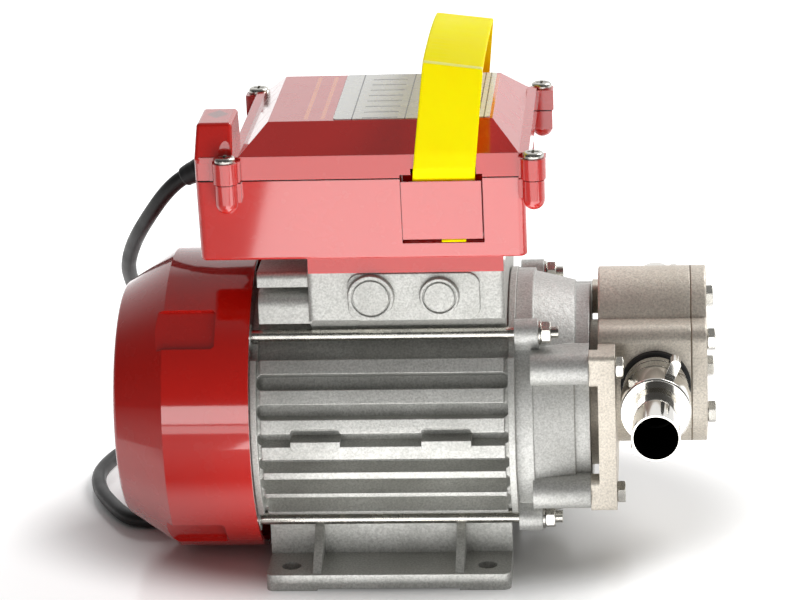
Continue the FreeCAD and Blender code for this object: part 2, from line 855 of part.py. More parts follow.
def fan_clip():
    x0 = fan_x0 - clip_thickness
    ring = ring_x(clip_r, fan_shaft_r - 0.8, x0, fan_x0)
    mouth = block(x0 - 1, fan_x0 + 1, -2.2, 2.2, shaft_height, shaft_height + clip_r + 1)
    return ring.cut(mouth)


def cover_shell(r, end_r, x0, x1):
    corners = [(x1, 0), (x1, r), (cover_knee_x, r), (x0, end_r), (x0, 0)]
    profile = [point(x, -radius, shaft_height) for x, radius in corners]
    face = Part.Face(Part.makePolygon([*profile, profile[0]]))
    return face.revolve(point(0, 0, shaft_height), X_AXIS, 360)


def cover_pocket(y, z, deeper, wider):
    # A flat-floored recess over a tie rod, open towards the cone.
    depth = cover_r - cover_pocket_depth - deeper
    x1 = cover_knee_x + cover_pocket_length + wider
    half = cover_pocket_width / 2 + wider
    x0 = cover_knee_x - cover_cone_length
    tool = block(x0, x1, -cover_r - 2, -depth, shaft_height - half, shaft_height + half)
    tool = round_edges(tool, 2.0, lambda e: along(e, Y_AXIS) and e.CenterOfMass.x > cover_knee_x)
    angle = math.degrees(math.atan2(-(z - shaft_height), -y))
    return about_motor(tool, angle)


def fan_cover():
    outer = cover_shell(cover_r, cover_end_r, cover_x0, -housing_end)
    rims = [e for e in outer.Edges if isinstance(e.Curve, Part.Circle)]
    outer = outer.makeFillet(3.0, [e for e in rims if abs(e.CenterOfMass.x - cover_x0) < 0.01])
    inner_end_r = cover_end_r - 1.2 * cover_wall
    inner = cover_shell(cover_inner_r, inner_end_r, cover_x0 + cover_wall, -housing_end + 1)
    for y, z in tie_rod_spots:
        outer = outer.cut(cover_pocket(y, z, 0, 0))
        inner = inner.cut(cover_pocket(y, z, cover_wall, cover_wall))
    whole = outer.cut(inner)
    return whole.cut(grille_slots())


def grille_slots():
    rings = []
    r = grille_hub_r
    while r + grille_slot < cover_end_r - 5:
        rings.append(ring_x(r + grille_slot, r, cover_x0 - 1, cover_x0 + cover_wall + 1))
        r += grille_slot + grille_bar
    slots = Part.makeCompound(rings)
    spokes = []
    for i in range(grille_spokes):
        x1 = cover_x0 + cover_wall + 2
        bar = block(cover_x0 - 2, x1, -cover_end_r, 0, shaft_height - 1.4, shaft_height + 1.4)
        spokes.append(about_motor(bar, 360 * i / grille_spokes))
    return slots.cut(fuse(spokes))


# Electrical box

def wall_y(z):
    # Distance of the drafted long wall from the middle at height z.
    share = (z - box_floor_z) / (box_parting_z - box_floor_z)
    return box_bottom_half_y + box_draft * min(1.0, share)


def hull(low, z_low, high, z_high):
    # A block between two level rectangles, each given as (x0, x1, y0, y1).
    loops = []
    for (x0, x1, y0, y1), z in ((low, z_low), (high, z_high)):
        corners = [point(x0, y0, z), point(x1, y0, z), point(x1, y1, z), point(x0, y1, z)]
        loops.append(Part.makePolygon([*corners, corners[0]]))
    return Part.makeLoft(loops, True, True)


def is_upright(edge):
    if len(edge.Vertexes) < 2:
        return False
    run = edge.Vertexes[1].Point - edge.Vertexes[0].Point
    return abs(run.z) > 0.9 * run.Length


def box_block(inset, z0, z1, x1, lower_r=0.0):
    # The box between two heights: its main rectangle and the column at the left end of the front.
    low, high = wall_y(z0) - inset, wall_y(z1) - inset
    r = max(0.8, box_edge_r - inset)
    x0 = box_x0 + inset
    main = hull((x0, x1, -low, low), z0, (x0, x1, -high, high), z1)
    x0, x1, y1 = column_x0 + inset, box_x0 + 2.2 * box_edge_r, column_y1 - inset
    column = hull((x0, x1, -low, y1), z0, (x0, x1, -high, y1), z1)
    shapes = [round_edges(main, r, is_upright), round_edges(column, r, is_upright)]
    if lower_r > 0:
        shapes = [round_edges(shape, lower_r, lambda e: e.BoundBox.ZMax < z0 + 0.01) for shape in shapes]
    return fuse(shapes)


def box_boss(x, y, r, z0, z1):
    # A screw post and the web that ties it to the nearest wall of the box.
    inward = 1 if x < 0 else -1
    x0, x1 = sorted((x - inward * r, x + inward * boss_web_reach))
    y0, y1 = sorted((y, math.copysign(box_half_y - 3, y)))
    return fuse([rod_z(r, z0, z1, x, y), block(x0, x1, y0, y1, z0, z1)])


def base_boss(x, y, z0):
    # A post of the base, which ends in a dome below the web.
    middle_z = z0 + base_boss_r
    post = box_boss(x, y, base_boss_r, middle_z, box_parting_z)
    return fuse([post, Part.makeSphere(base_boss_r, point(x, y, middle_z))])


def strap_pocket_block():
    x0, x1 = pocket_x0 - pocket_wall, pocket_x1 + pocket_wall
    y0, y1 = -box_half_y + 2, -box_half_y + pocket_depth + 2.2
    return block(x0, x1, y0, y1, pocket_bottom_z - pocket_wall, box_parting_z)


def strap_pocket_cut():
    y0, y1 = -box_half_y - 2, -box_half_y + pocket_depth
    return block(pocket_x0, pocket_x1, y0, y1, pocket_bottom_z, box_parting_z + 1)


def box_base():
    outer = box_block(0, box_floor_z, box_parting_z, base_x1, box_floor_edge_r)
    inner = box_block(box_wall, box_floor_z + box_wall, box_parting_z + 2, box_inner_x1)
    z0 = box_parting_z - base_boss_drop
    bosses = [base_boss(x, y, z0).cut(inner) for x, y in box_screw_spots]
    blocks = both_sides(strap_pocket_block().common(outer))
    y = box_plinth_half_y
    plinth = block(box_plinth_x0, box_plinth_x1, -y, y, turret_top_z, box_floor_z + 1)
    whole = fuse([outer.cut(inner), *bosses, *blocks, plinth])
    tools = [*both_sides(strap_pocket_cut()), end_recess(), switch_opening()]
    tools += [rod_z(screw_r, z0 + screw_hole_rest, box_parting_z + 1, x, y) for x, y in box_screw_spots]
    wire_x = (turret_x0 + turret_x1) / 2
    tools.append(rod_z(wire_hole_r, turret_top_z - 1, box_floor_z + box_wall + 1, wire_x, 0))
    tools.append(rod_x(gland_r, box_x0 - 1, end_panel_x + box_wall + 1, gland_y, gland_z))
    return cut(whole, tools)


def end_recess():
    # The right end stands back between two corner posts and below the rim.
    half_y = box_half_y - base_post_depth
    x0, z1 = base_x1 - base_end_recess, box_parting_z - base_rim_height
    return block(x0, base_x1 + 1, -half_y, half_y, box_floor_z - 1, z1)


def switch_opening():
    half_y, half_z = switch_length / 2 - switch_rim, switch_height / 2 - switch_rim
    x1 = end_panel_x + box_wall + 1
    return block(box_x0 - 1, x1, switch_y - half_y, switch_y + half_y, switch_z - half_z, switch_z + half_z)


def box_gasket():
    rim = box_block(box_gasket_inset, box_parting_z, lid_parting_z, base_x1 - box_gasket_inset)
    ring = rim.cut(box_block(box_wall, box_parting_z - 1, lid_parting_z + 1, box_inner_x1))
    return cut(ring, both_sides(strap_pocket_cut()))


def tower(inset):
    x0, x1 = column_x0 + inset, column_x0 + tower_length_x - inset
    y0, y1 = inset - box_half_y, column_y1 - inset
    z0 = lid_skirt_z - inset - 1
    high = (x0 + tower_draft_x, x1, y0 + tower_draft_y, y1 - tower_draft_y)
    return hull((x0, x1, y0, y1), z0, high, tower_z - inset)


def crown(inset):
    x0, x1, y = lid_ridge_x0 + inset, lid_crown_x1 - inset, box_half_y - inset
    top_y = y - lid_top_inset_y
    high = (x0 + lid_top_inset_x, x1 - lid_top_inset_x, -top_y, top_y)
    return hull((x0, x1, -y, y), lid_skirt_z - inset, high, lid_top_z - inset)


def box_lid():
    block_on_column = round_edges(tower(0), tower_end_r, lambda e: e.CenterOfMass.z > lid_skirt_z)
    outer = fuse([box_block(0, lid_parting_z, lid_skirt_z, box_x1), crown(0), block_on_column])
    hollow = box_block(box_wall, lid_parting_z - 1, lid_skirt_z - box_wall, box_inner_x1)
    inner = fuse([hollow, crown(box_wall), tower(box_wall)])
    z0, z1, spots = lid_parting_z, lid_boss_z, box_screw_spots
    bosses = [box_boss(x, y, lid_boss_r, z0, z1).cut(inner) for x, y in spots]
    whole = fuse([outer.cut(inner), *bosses])
    tools = [rod_z(screw_r + hole_gap, z0 - 1, z1 + 1, x, y) for x, y in spots]
    tools += [rod_z(screw_head_r + seat_gap, z1, tower_z + 1, x, y) for x, y in spots]
    tools += both_sides(lid_notch(pocket_x0, pocket_x1, pocket_slot_height))
    strap_x1 = strap_x0 + strap_width
    tools += both_sides(lid_notch(strap_x0 - 2 * seat_gap, strap_x1 + 2 * seat_gap, strap_notch_height))
    tools.append(label_recess())
    return cut(whole, tools)


def lid_notch(x0, x1, height):
    y0, y1 = -box_half_y - 1, -box_half_y + box_wall + 1
    return block(x0, x1, y0, y1, lid_parting_z - 1, lid_parting_z + height)


def label_recess():
    x0 = column_x0 + label_recess_offset
    x1 = x0 + label_recess_length
    y1, z1 = label_recess_depth - box_half_y, lid_skirt_z - label_recess_drop
    return block(x0, x1, -box_half_y - 1, y1, lid_parting_z, z1)


def lid_screws():
    z = lid_boss_z
    screws = []
    for x, y in box_screw_spots:
        shank = rod_z(screw_r, box_parting_z - base_boss_drop + screw_hole_rest + 1, z + 0.5, x, y)
        head = rod_z(screw_head_r, z, z + screw_head_height, x, y)
        top = [e for e in head.Edges if isinstance(e.Curve, Part.Circle) and e.CenterOfMass.z > z + 1]
        head = head.makeFillet(1.3, top)
        bars = [block(x - a, x + a, y - b, y + b, z + 1, z + 4) for a, b in ((2.2, 0.5), (0.5, 2.2))]
        screws.append(fuse([shank, head]).cut(fuse(bars)))
    return Part.makeCompound(screws)


def rating_plate():
    z1 = lid_top_z + plate_thickness
    return rounded_block(plate_x0, plate_x1, -plate_half_y, plate_half_y, lid_top_z, z1, 1.5, Z_AXIS)


def strap_inside_y(z):
    # Distance from the middle of the strap's outer face, where it runs behind the clip.
    return wall_y(z) - clip_inset - clip_plate_thickness - strap_clip_gap


def strap_leg(side, shoulder_z, inward):
    # Outline of one leg from its lower end up to the crease where the arch starts.
    pairs = [(strap_inside_y(strap_end_z), strap_end_z), (strap_inside_y(clip_top_z), clip_top_z),
             (strap_outer_y, clip_top_z + strap_bend_height), (strap_outer_y, lid_skirt_z + 1),
             (strap_shoulder_y, shoulder_z - inward)]
    return [(side * (y - inward), z) for y, z in pairs]


def strap_left(y, z):
    return point(strap_x0 + strap_lean_left * (z - strap_hinge_z), y, z)


def strap_right(y, z):
    z = strap_hinge_z + strap_right_scale * (z - strap_hinge_z)
    return point(strap_x0 + strap_width + strap_lean_right * (z - strap_hinge_z), y, z)


def lines(points):
    return [Part.LineSegment(a, b).toShape() for a, b in zip(points, points[1:])]


def strap_outline(place):
    # Up the front leg, over the arch, down the rear leg, then back along the inner face.
    t = strap_thickness
    ways = ((strap_leg(-1, strap_front_z, 0), strap_leg(1, strap_rear_z, 0), strap_peak_z),
            (strap_leg(1, strap_rear_z, t), strap_leg(-1, strap_front_z, t), strap_peak_z - t))
    edges, last = [], place(*ways[1][1][0])
    for rising, falling, peak in ways:
        up = [last, *[place(*pair) for pair in rising]]
        down = [place(*pair) for pair in reversed(falling)]
        edges += [*lines(up), Part.Arc(up[-1], place(0, peak), down[0]).toShape(), *lines(down)]
        last = down[-1]
    return Part.Wire(edges)


def carry_strap():
    band = Part.makeLoft([strap_outline(strap_left), strap_outline(strap_right)], True, True)
    return fuse([band, *both_sides(strap_tongue())])


def strap_tongue():
    # The narrow end of the strap, hooked forwards under the clip.
    x0, x1 = tongue_x - tongue_width / 2, tongue_x + tongue_width / 2
    y0, z0 = clip_inset - wall_y(pocket_bottom_z), pocket_bottom_z + seat_gap
    y1 = -strap_inside_y(pocket_bottom_z)
    y2 = y1 + strap_thickness
    hook = block(x0, x1, y0, y2, z0, z0 + tongue_thickness)
    return fuse([hook, block(x0, x1, y1, y2, z0, strap_end_z + 3)])


def strap_clip(side):
    z0, z1 = pocket_bottom_z + clip_bottom_gap, clip_top_z
    low, high = clip_inset - wall_y(z0), clip_inset - wall_y(z1)
    t = clip_plate_thickness
    outline = [(low, z0), (high, z1), (high + t, z1), (low + t, z0)]
    plate = prism_yz(outline, pocket_x0 + 0.2, pocket_x1 - clip_side_gap)
    return plate if side < 0 else mirrored_y(plate)


def capacitor():
    z0 = box_floor_z + box_wall
    z = z0 + capacitor_r + 0.2
    can = rod_x(capacitor_r, capacitor_x0, capacitor_x0 + capacitor_length, capacitor_y, z)
    ends = [e for e in can.Edges if isinstance(e.Curve, Part.Circle)]
    can = can.makeFillet(1.2, ends)
    x0, x1 = capacitor_x0, capacitor_x0 + capacitor_length
    middles = (capacitor_y - 5, capacitor_y + 5)
    tabs = [block(x0 - 7, x0 + 1, y - 2.4, y + 2.4, z - 0.4, z + 0.4) for y in middles]
    seat = block(x0 + 8, x1 - 8, capacitor_y - 4, capacitor_y + 4, z0, z - 0.8 * capacitor_r)
    return fuse([can, *tabs, seat])


def terminal_block():
    length, width, height = terminal_block_size
    x0 = terminal_block_x - length / 2
    z0 = box_floor_z + box_wall
    y0 = terminal_block_y
    body = block(x0, x0 + length, y0, y0 + width, z0, z0 + height)
    tools = []
    for i in range(4):
        x = x0 + length * (i + 0.5) / 4
        tools.append(rod_z(2.0, z0 + height - 5, z0 + height + 1, x, y0 + width / 2))
        tools.append(rod_y(1.5, y0 - 1, y0 + width + 1, x, z0 + 4))
    return cut(body, tools)


def switch_block(x0, x1, half_y, half_z):
    return block(x0, x1, switch_y - half_y, switch_y + half_y, switch_z - half_z, switch_z + half_z)


def switch_body():
    x0 = end_panel_x
    half_y, half_z = switch_length / 2, switch_height / 2
    rim = round_edges(switch_block(x0 - switch_rim, x0, half_y, half_z), 1.5, lambda e: along(e, X_AXIS))
    wall = switch_rim + 0.2
    body = switch_block(x0 - 0.2, x0 + switch_depth, half_y - wall, half_z - wall)
    window = switch_block(x0 - switch_rim - 1, x0 + 7, rocker_length / 2 + 0.4, rocker_height / 2 + 0.3)
    pin_z = rocker_height / 2 + 0.6
    pin = rod_z(rocker_pin_r, switch_z - pin_z, switch_z + pin_z, x0 + rocker_pin_depth, switch_y)
    tab_x = x0 + switch_depth
    middles = [switch_y + s * switch_tab_spacing for s in (-1, 0, 1)]
    tabs = [block(tab_x - 1, tab_x + 7, y - 2.4, y + 2.4, switch_z - 0.4, switch_z + 0.4) for y in middles]
    return fuse([fuse([rim, body]).cut(window), pin, *tabs])


def switch_rocker():
    x = end_panel_x + rocker_pin_depth
    half = rocker_length / 2 - 0.35
    front = x - rocker_rise - 2.2
    tips = [(front - 2, -half), (front, 0), (front - 2, half),
            (x + 1.4, half - 1.4), (x + 2.6, 3), (x + 2.6, -3), (x + 1.4, 1.4 - half)]
    points = [point(px, switch_y + py, switch_z - rocker_height / 2 + 0.1) for px, py in tips]
    body = prism(points, V(0, 0, rocker_height - 0.2))
    z0, z1 = switch_z - rocker_height, switch_z + rocker_height
    hole = rod_z(rocker_pin_r + running_gap, z0, z1, x, switch_y)
    return body.cut(hole)


# Gear pump

def pump_outline(x0, x1):
    ends = [rod_x(pump_round_r, x0, x1, 0, z) for z in (shaft_height, idler_z)]
    half_y = pump_lug_y + pump_lug_r
    half_z = pump_lug_z + pump_lug_r
    z0, z1 = pump_mid_z - half_z, pump_mid_z + half_z
    lugs = rounded_block(x0, x1, -half_y, half_y, z0, z1, pump_lug_r - 0.1, X_AXIS)
    return fuse([*ends, lugs])


def port_hole():
    bore = rod_y(port_bore_r, 4, port_face_y, port_x, port_z)
    socket = rod_y(port_socket_r, port_face_y - port_socket_depth - 0.5, port_face_y + 1, port_x, port_z)
    return fuse([bore, socket])


def pump_body():
    body = pump_outline(flange_x0, pump_x1)
    rim = [e for e in body.Edges if abs(e.CenterOfMass.x - flange_x0) < 0.01]
    body = body.makeFillet(0.8, rim)
    half_y = pump_bolt_y + pump_flange_margin_y
    half_z = pump_bolt_z + pump_flange_margin_z
    z0, z1 = shaft_height - half_z, shaft_height + half_z
    plate = rounded_block(flange_x0, flange_x1, -half_y, half_y, z0, z1, 2.0, X_AXIS)
    pads = [pump_pad(y, z) for y, z in pump_bolt_spots]
    spigot_x0 = face_x - pump_spigot_length
    spigot = rod_x(pump_spigot_r, spigot_x0, flange_x0 + 1)
    whole = fuse([body, plate, *pads, spigot])
    tools = [rod_x(chamber_r, chamber_x0, pump_x1 + 1, 0, z) for z in (shaft_height, idler_z)]
    tools.append(rod_x(seal_outer_r, spigot_x0 - 1, spigot_x0 + seal_width))
    tools.append(rod_x(gear_bore_r + running_gap + shaft_bush_wall, face_x, chamber_x0 + 1))
    tools.append(rod_x(idler_pin_r, chamber_x0 - 6, chamber_x0 + 1, 0, idler_z))
    tools += both_sides(port_hole())
    tools += [rod_x(pump_bolt_r + hole_gap, face_x - 1, flange_x1 + 1, y, z) for y, z in pump_bolt_spots]
    tools += [rod_x(pump_bolt_r, pump_x1 - bolt_hole_depth, pump_x1 + 1, y, z) for y, z in pump_lug_spots]
    return cut(whole, tools)


def pump_pad(y, z):
    # The pad behind one corner of the flange, which stands on the shield's boss.
    y0, y1 = y - pump_flange_margin_y, y + pump_flange_margin_y
    z0, z1 = z - pump_flange_margin_z, z + pump_flange_margin_z
    return rounded_block(face_x, flange_x1 - 1, y0, y1, z0, z1, 2.0, X_AXIS)


def cover_bolt_holes(x0, x1):
    return [rod_x(pump_bolt_r + hole_gap, x0 - 1, x1 + 1, y, z) for y, z in pump_lug_spots]


def pump_cover():
    x0, x1 = pump_gasket_x1, pump_cover_x1
    cover = pump_outline(x0, x1)
    rim = [e for e in cover.Edges if abs(e.CenterOfMass.x - x1) < 0.01]
    cover = cover.makeFillet(0.8, rim)
    return cut(cover, [*cover_bolt_holes(x0, x1), rod_x(idler_pin_r, x0 - 1, x1 - 2, 0, idler_z)])


def cover_gasket():
    x0, x1 = pump_x1, pump_gasket_x1
    chambers = [rod_x(chamber_r, x0 - 1, x1 + 1, 0, z) for z in (shaft_height, idler_z)]
    return cut(pump_outline(x0, x1), [*chambers, *cover_bolt_holes(x0, x1)])


def hex_bolt(x_under, shank, y, z):
    head = chamfered_hexagon_x(bolt_head_flats, x_under, x_under + bolt_head_height, y, z)
    return fuse([head, rod_x(pump_bolt_r, x_under - shank, x_under + 1, y, z)])


def cover_bolts():
    return Part.makeCompound([hex_bolt(pump_cover_x1, cover_bolt_length, y, z) for y, z in pump_lug_spots])


def pump_bolts():
    return Part.makeCompound([hex_bolt(flange_x1, pump_bolt_length, y, z) for y, z in pump_bolt_spots])


def gear_outline(phase):
    # One closed polygon of the toothed wheel, with straight flanks that follow the involute's chord.
    quarter = math.pi / (2 * gear_teeth)
    slack = 0.06 / gear_pitch_r
    steps = ((gear_root_r, 1.46), (gear_pitch_r, 1.0), (gear_tip_r, 0.46))
    points = []
    for i in range(gear_teeth):
        middle = phase + 2 * math.pi * i / gear_teeth
        rising = [(r, middle - quarter * share + slack) for r, share in steps]
        falling = [(r, middle + quarter * share - slack) for r, share in reversed(steps)]
        points += rising + falling
    return points


def gear(z, phase, bore_r):
    pairs = [(r * math.cos(a), z + r * math.sin(a)) for r, a in gear_outline(phase)]
    return prism_yz(pairs, gear_x0, gear_x1).cut(rod_x(bore_r, gear_x0 - 1, gear_x1 + 1, 0, z))


def drive_gear():
    whole = gear(shaft_height, math.pi / 2, gear_bore_r)
    z1 = shaft_height + gear_bore_r + key_height / 2
    slot = block(gear_x0 - 1, gear_x1 + 1, -key_width / 2, key_width / 2, shaft_height, z1)
    return whole.cut(slot)


def driven_gear():
    half_tooth = math.pi / gear_teeth
    return gear(idler_z, -math.pi / 2 + half_tooth, idler_pin_r + running_gap + idler_bush_wall)


def gear_key():
    return block(gear_x0 + 3, gear_x0 + 3 + key_length, -key_width / 2, key_width / 2,
                 shaft_height + gear_bore_r - key_height / 2, shaft_height + gear_bore_r + key_height / 2)


def idler_bush():
    inner = idler_pin_r + running_gap
    return ring_x(inner + idler_bush_wall, inner, gear_x0, gear_x1, 0, idler_z)


def idler_shaft():
    return rod_x(idler_pin_r, chamber_x0 - 6, pump_cover_x1 - 2, 0, idler_z)


def shaft_bush():
    inner = gear_bore_r + running_gap
    x0 = face_x - pump_spigot_length + seal_width
    return ring_x(inner + shaft_bush_wall, inner, x0, chamber_x0)


def shaft_seal():
    x0 = face_x - pump_spigot_length
    body = ring_x(seal_outer_r, gear_bore_r + running_gap, x0, x0 + seal_width)
    spring_room = ring_x(seal_outer_r - 2, gear_bore_r + 2, x0 - 1, x0 + seal_width - 2.5)
    return body.cut(spring_room)


# Union nuts, gaskets and hose tails

def port_seals():
    ring = ring_y(port_seal_r, port_socket_r, port_face_y, nipple_y0, port_x, port_z)
    return Part.makeCompound(both_sides(ring))


def nipple():
    thread_y0 = port_face_y - port_socket_depth
    shapes = [rod_y(port_socket_r - running_gap, thread_y0, nipple_y0 + 1, port_x, port_z)]
    for r, y1 in ((nipple_collar_r, union_y0 - nipple_collar_gap), (nipple_r, nipple_y1)):
        tube = rod_y(r, nipple_y0, y1, port_x, port_z)
        edges = [e for e in tube.Edges if isinstance(e.Curve, Part.Circle)]
        shapes.append(tube.makeFillet(0.5, edges))
    tools = [rod_y(port_bore_r, 0, nipple_y1 + 1, port_x, port_z)]
    groove_r = nipple_collar_r - nipple_groove
    for offset in nipple_groove_offsets:
        y = nipple_y0 + offset
        tools.append(ring_y(nipple_collar_r + 1, groove_r, y, y + nipple_groove, port_x, port_z))
    return cut(fuse(shapes), tools)


def union_gaskets():
    ring = ring_y(nipple_r - 0.8, port_bore_r, nipple_y1, tail_y0, port_x, port_z)
    return Part.makeCompound(both_sides(ring))


def hose_tail():
    collar = rod_y(tail_collar_r, tail_y0, tail_y0 + tail_collar_length, port_x, port_z)
    tube = rod_y(tail_r, tail_y0, tail_reach, port_x, port_z)
    bore = rod_y(tail_r - tail_wall, tail_y0 - 1, tail_reach + 1, port_x, port_z)
    return fuse([collar, tube]).cut(bore)


def union_ear(y0, y1, angle):
    half = union_ear_width / 2
    bar = block(port_x - half, port_x + half, y0, y1, port_z + union_r - 2, port_z + union_ear_r)
    r = 0.45 * union_ear_width
    bar = round_edges(bar, r, lambda e: along(e, Y_AXIS) and e.CenterOfMass.z > port_z + union_r)
    bar.rotate(point(port_x, 0, port_z), Y_AXIS, angle)
    return bar


def union_nut():
    body = rod_y(union_r, union_y0, union_y1, port_x, port_z)
    ends = [e for e in body.Edges if isinstance(e.Curve, Part.Circle)]
    body = body.makeFillet(0.8, ends)
    ear_end = union_y1 - union_ear_setback
    ears = [union_ear(ear_end - union_ear_length, ear_end, union_ear_angle + turn) for turn in (0, 180)]
    inner = rod_y(nipple_r + running_gap, union_y0 - 1, union_y1 - union_lip + running_gap, port_x, port_z)
    mouth = rod_y(union_mouth_r, union_y0 - 1, union_y1 + 1, port_x, port_z)
    return cut(fuse([body, *ears]), [inner, mouth])


# Power cord, coil and plug

cord_points = [
    (end_panel_x - gland_length, gland_y, gland_z), (-83.5, 15.5, 155.0), (-92.5, 19.0, 147.2),
    (-102.0, 27.0, 134.0), (-111.5, 41.5, 118.5), (-118.0, 58.0, 102.5), (-119.5, 75.5, 89.0),
    (-120.0, 93.0, 77.5), (-119.0, 108.5, 66.0), (-117.0, 120.0, 52.5), (-116.2, 124.0, 36.5),
    (-117.8, 120.5, 21.5), (-121.8, 111.8, 9.2), (-127.8, 99.0, 3.3), (-135.0, 82.5, 3.3),
    (-138.4, 63.5, 3.3), (-134.5, 44.5, 3.3), (-126.2, 27.0, 3.3), (-117.2, 12.3, 3.3),
    (-107.8, 8.4, 3.3), (-98.4, 11.2, 3.3), (-92.7, 19.6, 3.3), (-91.5, 31.5, 3.3),
    (-89.0, 47.5, 3.3), (-85.5, 66.5, 3.3), (-81.0, 86.0, 3.3), (-76.6, 105.5, 3.3),
    (-69.6, 124.0, 3.3),
]


def cord_path():
    # Straight runs joined by tangent arcs. Returns the path's edges and its length.
    points = [V(*p) for p in cord_points]
    edges, length, start = [], 0.0, points[0]
    for before, corner, after in zip(points, points[1:], points[2:]):
        run_in, run_out = corner - before, after - corner
        turn = run_in.getAngle(run_out)
        reach = 0.45 * min(run_in.Length, run_out.Length)
        radius = reach / math.tan(turn / 2)
        into, out = V(run_in).normalize(), V(run_out).normalize()
        a, b = corner - into * reach, corner + out * reach
        inside = (out - into).normalize()
        middle = corner + inside * (radius / math.cos(turn / 2) - radius)
        print(f"cord point {tuple(corner)}: radius {radius:.1f}, run {run_in.Length:.1f}")
        edges.append(Part.LineSegment(start, a).toShape())
        edges.append(Part.Arc(a, middle, b).toShape())
        length += (a - start).Length + radius * turn
        start = b
    edges.append(Part.LineSegment(start, points[-1]).toShape())
    return Part.Wire(edges), length + (points[-1] - start).Length


def power_cord():
    path, length = cord_path()
    start = V(*cord_points[0])
    direction = V(*cord_points[1]) - start
    section = Part.Wire([Part.makeCircle(cord_r, start, direction)])
    tube = path.makePipeShell([section], True, False)
    expected = math.pi * cord_r ** 2 * length
    print(f"cord tube {length:.1f} long, volume ratio {tube.Volume / expected:.4f}")
    return tube


def cord_coil():
    inner, outer = coil_mean_r - 2 * cord_r, coil_mean_r + 2 * cord_r
    height = 6 * cord_r
    ring = rod_z(outer, 0, height, coil_x, coil_y).cut(rod_z(inner, -1, height + 1, coil_x, coil_y))
    edges = [e for e in ring.Edges if isinstance(e.Curve, Part.Circle)]
    return ring.makeFillet(2.2, edges)


def cord_gland():
    x1 = end_panel_x
    flange = rod_x(gland_flange_r, x1 - gland_flange_thickness, x1, gland_y, gland_z)
    sleeve = Part.makeCone(gland_r, gland_r - 1.2, gland_length, point(x1, gland_y, gland_z), V(-1, 0, 0))
    throat = rod_x(gland_r - 0.05, x1, x1 + 5, gland_y, gland_z)
    collar = rod_x(gland_r + 1.2, x1 + 3.2, x1 + 6, gland_y, gland_z)
    return fuse([flange, sleeve, throat, collar])


def plug_place(shape):
    # The plug lies on its side, in line with the cord where that leaves the coil.
    turn = math.radians(plug_turn)
    outward = V(math.sin(-turn), math.cos(turn), 0)
    forward = V(math.cos(turn), math.sin(turn), 0)
    step = math.sqrt((coil_mean_r + 2 * cord_r) ** 2 - coil_mean_r ** 2)
    place = V(coil_x, coil_y, plug_r) + outward * coil_mean_r + forward * step
    shape.rotate(point(0, 0, 0), Z_AXIS, plug_turn)
    shape.translate(place)
    return shape


def plug_body():
    tail = Part.makeCone(cord_r + 1.4, 7.5, plug_tail_length, point(0, 0, 0), X_AXIS)
    neck = Part.makeCone(7.5, plug_r, 9, point(plug_tail_length, 0, 0), X_AXIS)
    front = Part.makeCylinder(plug_r, plug_length - 9, point(plug_tail_length + 9, 0, 0), X_AXIS)
    return plug_place(fuse([tail, neck, front]))


def plug_pins():
    x0 = plug_tail_length + plug_length
    pins = []
    for side in (-1, 1):
        foot_point = point(x0, side * plug_pin_spacing / 2, 0)
        pin = Part.makeCylinder(plug_pin_r, plug_pin_length, foot_point, X_AXIS)
        tip = [e for e in pin.Edges if isinstance(e.Curve, Part.Circle) and e.CenterOfMass.x > x0 + 1]
        pins.append(plug_place(pin.makeFillet(1.4, tip)))
    return Part.makeCompound(pins)


def main():
    os.makedirs("parts", exist_ok=True)
    save("motor_housing", motor_housing())
    save("front_shield", front_shield())
    save("rear_shield", rear_shield())
    save("tie_rods", tie_rods())
    save("tie_rod_washers", tie_rod_washers())
    save("tie_rod_nuts", tie_rod_nuts())
    save("front_bearing_outer", outer_race(front_bearing_x))
    save("front_bearing_inner", inner_race(front_bearing_x))
    save("front_bearing_balls", ball_set(front_bearing_x))
    save("rear_bearing_outer", outer_race(rear_bearing_x))
    save("rear_bearing_inner", inner_race(rear_bearing_x))
    save("rear_bearing_balls", ball_set(rear_bearing_x))
    save("wave_washer", wave_washer())
    save("stator_core", stator_core())
    save("stator_windings", stator_windings())
    save("motor_shaft", motor_shaft())
    save("rotor_core", rotor_core())
    save("rotor_cage", rotor_cage())
    save("cooling_fan", cooling_fan())
    save("fan_clip", fan_clip())
    save("fan_cover", fan_cover())
    save("box_base", box_base())
    save("box_gasket", box_gasket())
    save("box_lid", box_lid())
    save("lid_screws", lid_screws())
    save("rating_plate", rating_plate())
    save("carry_strap", carry_strap())
    save("strap_clip_front", strap_clip(-1))
    save("strap_clip_rear", strap_clip(1))
    save("capacitor", capacitor())
    save("terminal_block", terminal_block())
    save("switch_body", switch_body())
    save("switch_rocker", switch_rocker())
    save("pump_body", pump_body())
    save("pump_cover", pump_cover())
    save("cover_gasket", cover_gasket())
    save("cover_bolts", cover_bolts())
    save("pump_bolts", pump_bolts())
    save("drive_gear", drive_gear())
    save("driven_gear", driven_gear())
    save("gear_key", gear_key())
    save("idler_bush", idler_bush())
    save("idler_shaft", idler_shaft())
    save("shaft_bush", shaft_bush())
    save("shaft_seal", shaft_seal())
    save("port_seals", port_seals())
    save("union_gaskets", union_gaskets())
    for name, make in (("nipple", nipple), ("hose_tail", hose_tail), ("union_nut", union_nut)):
        outlet = make()
        save(f"outlet_{name}", outlet)
        save(f"inlet_{name}", mirrored_y(outlet))
    save("power_cord", power_cord())
    save("cord_coil", cord_coil())
    save("cord_gland", cord_gland())
    save("plug_body", plug_body())
    save("plug_pins", plug_pins())


main()
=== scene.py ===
import json
import math

import bpy
from mathutils import Matrix, Vector


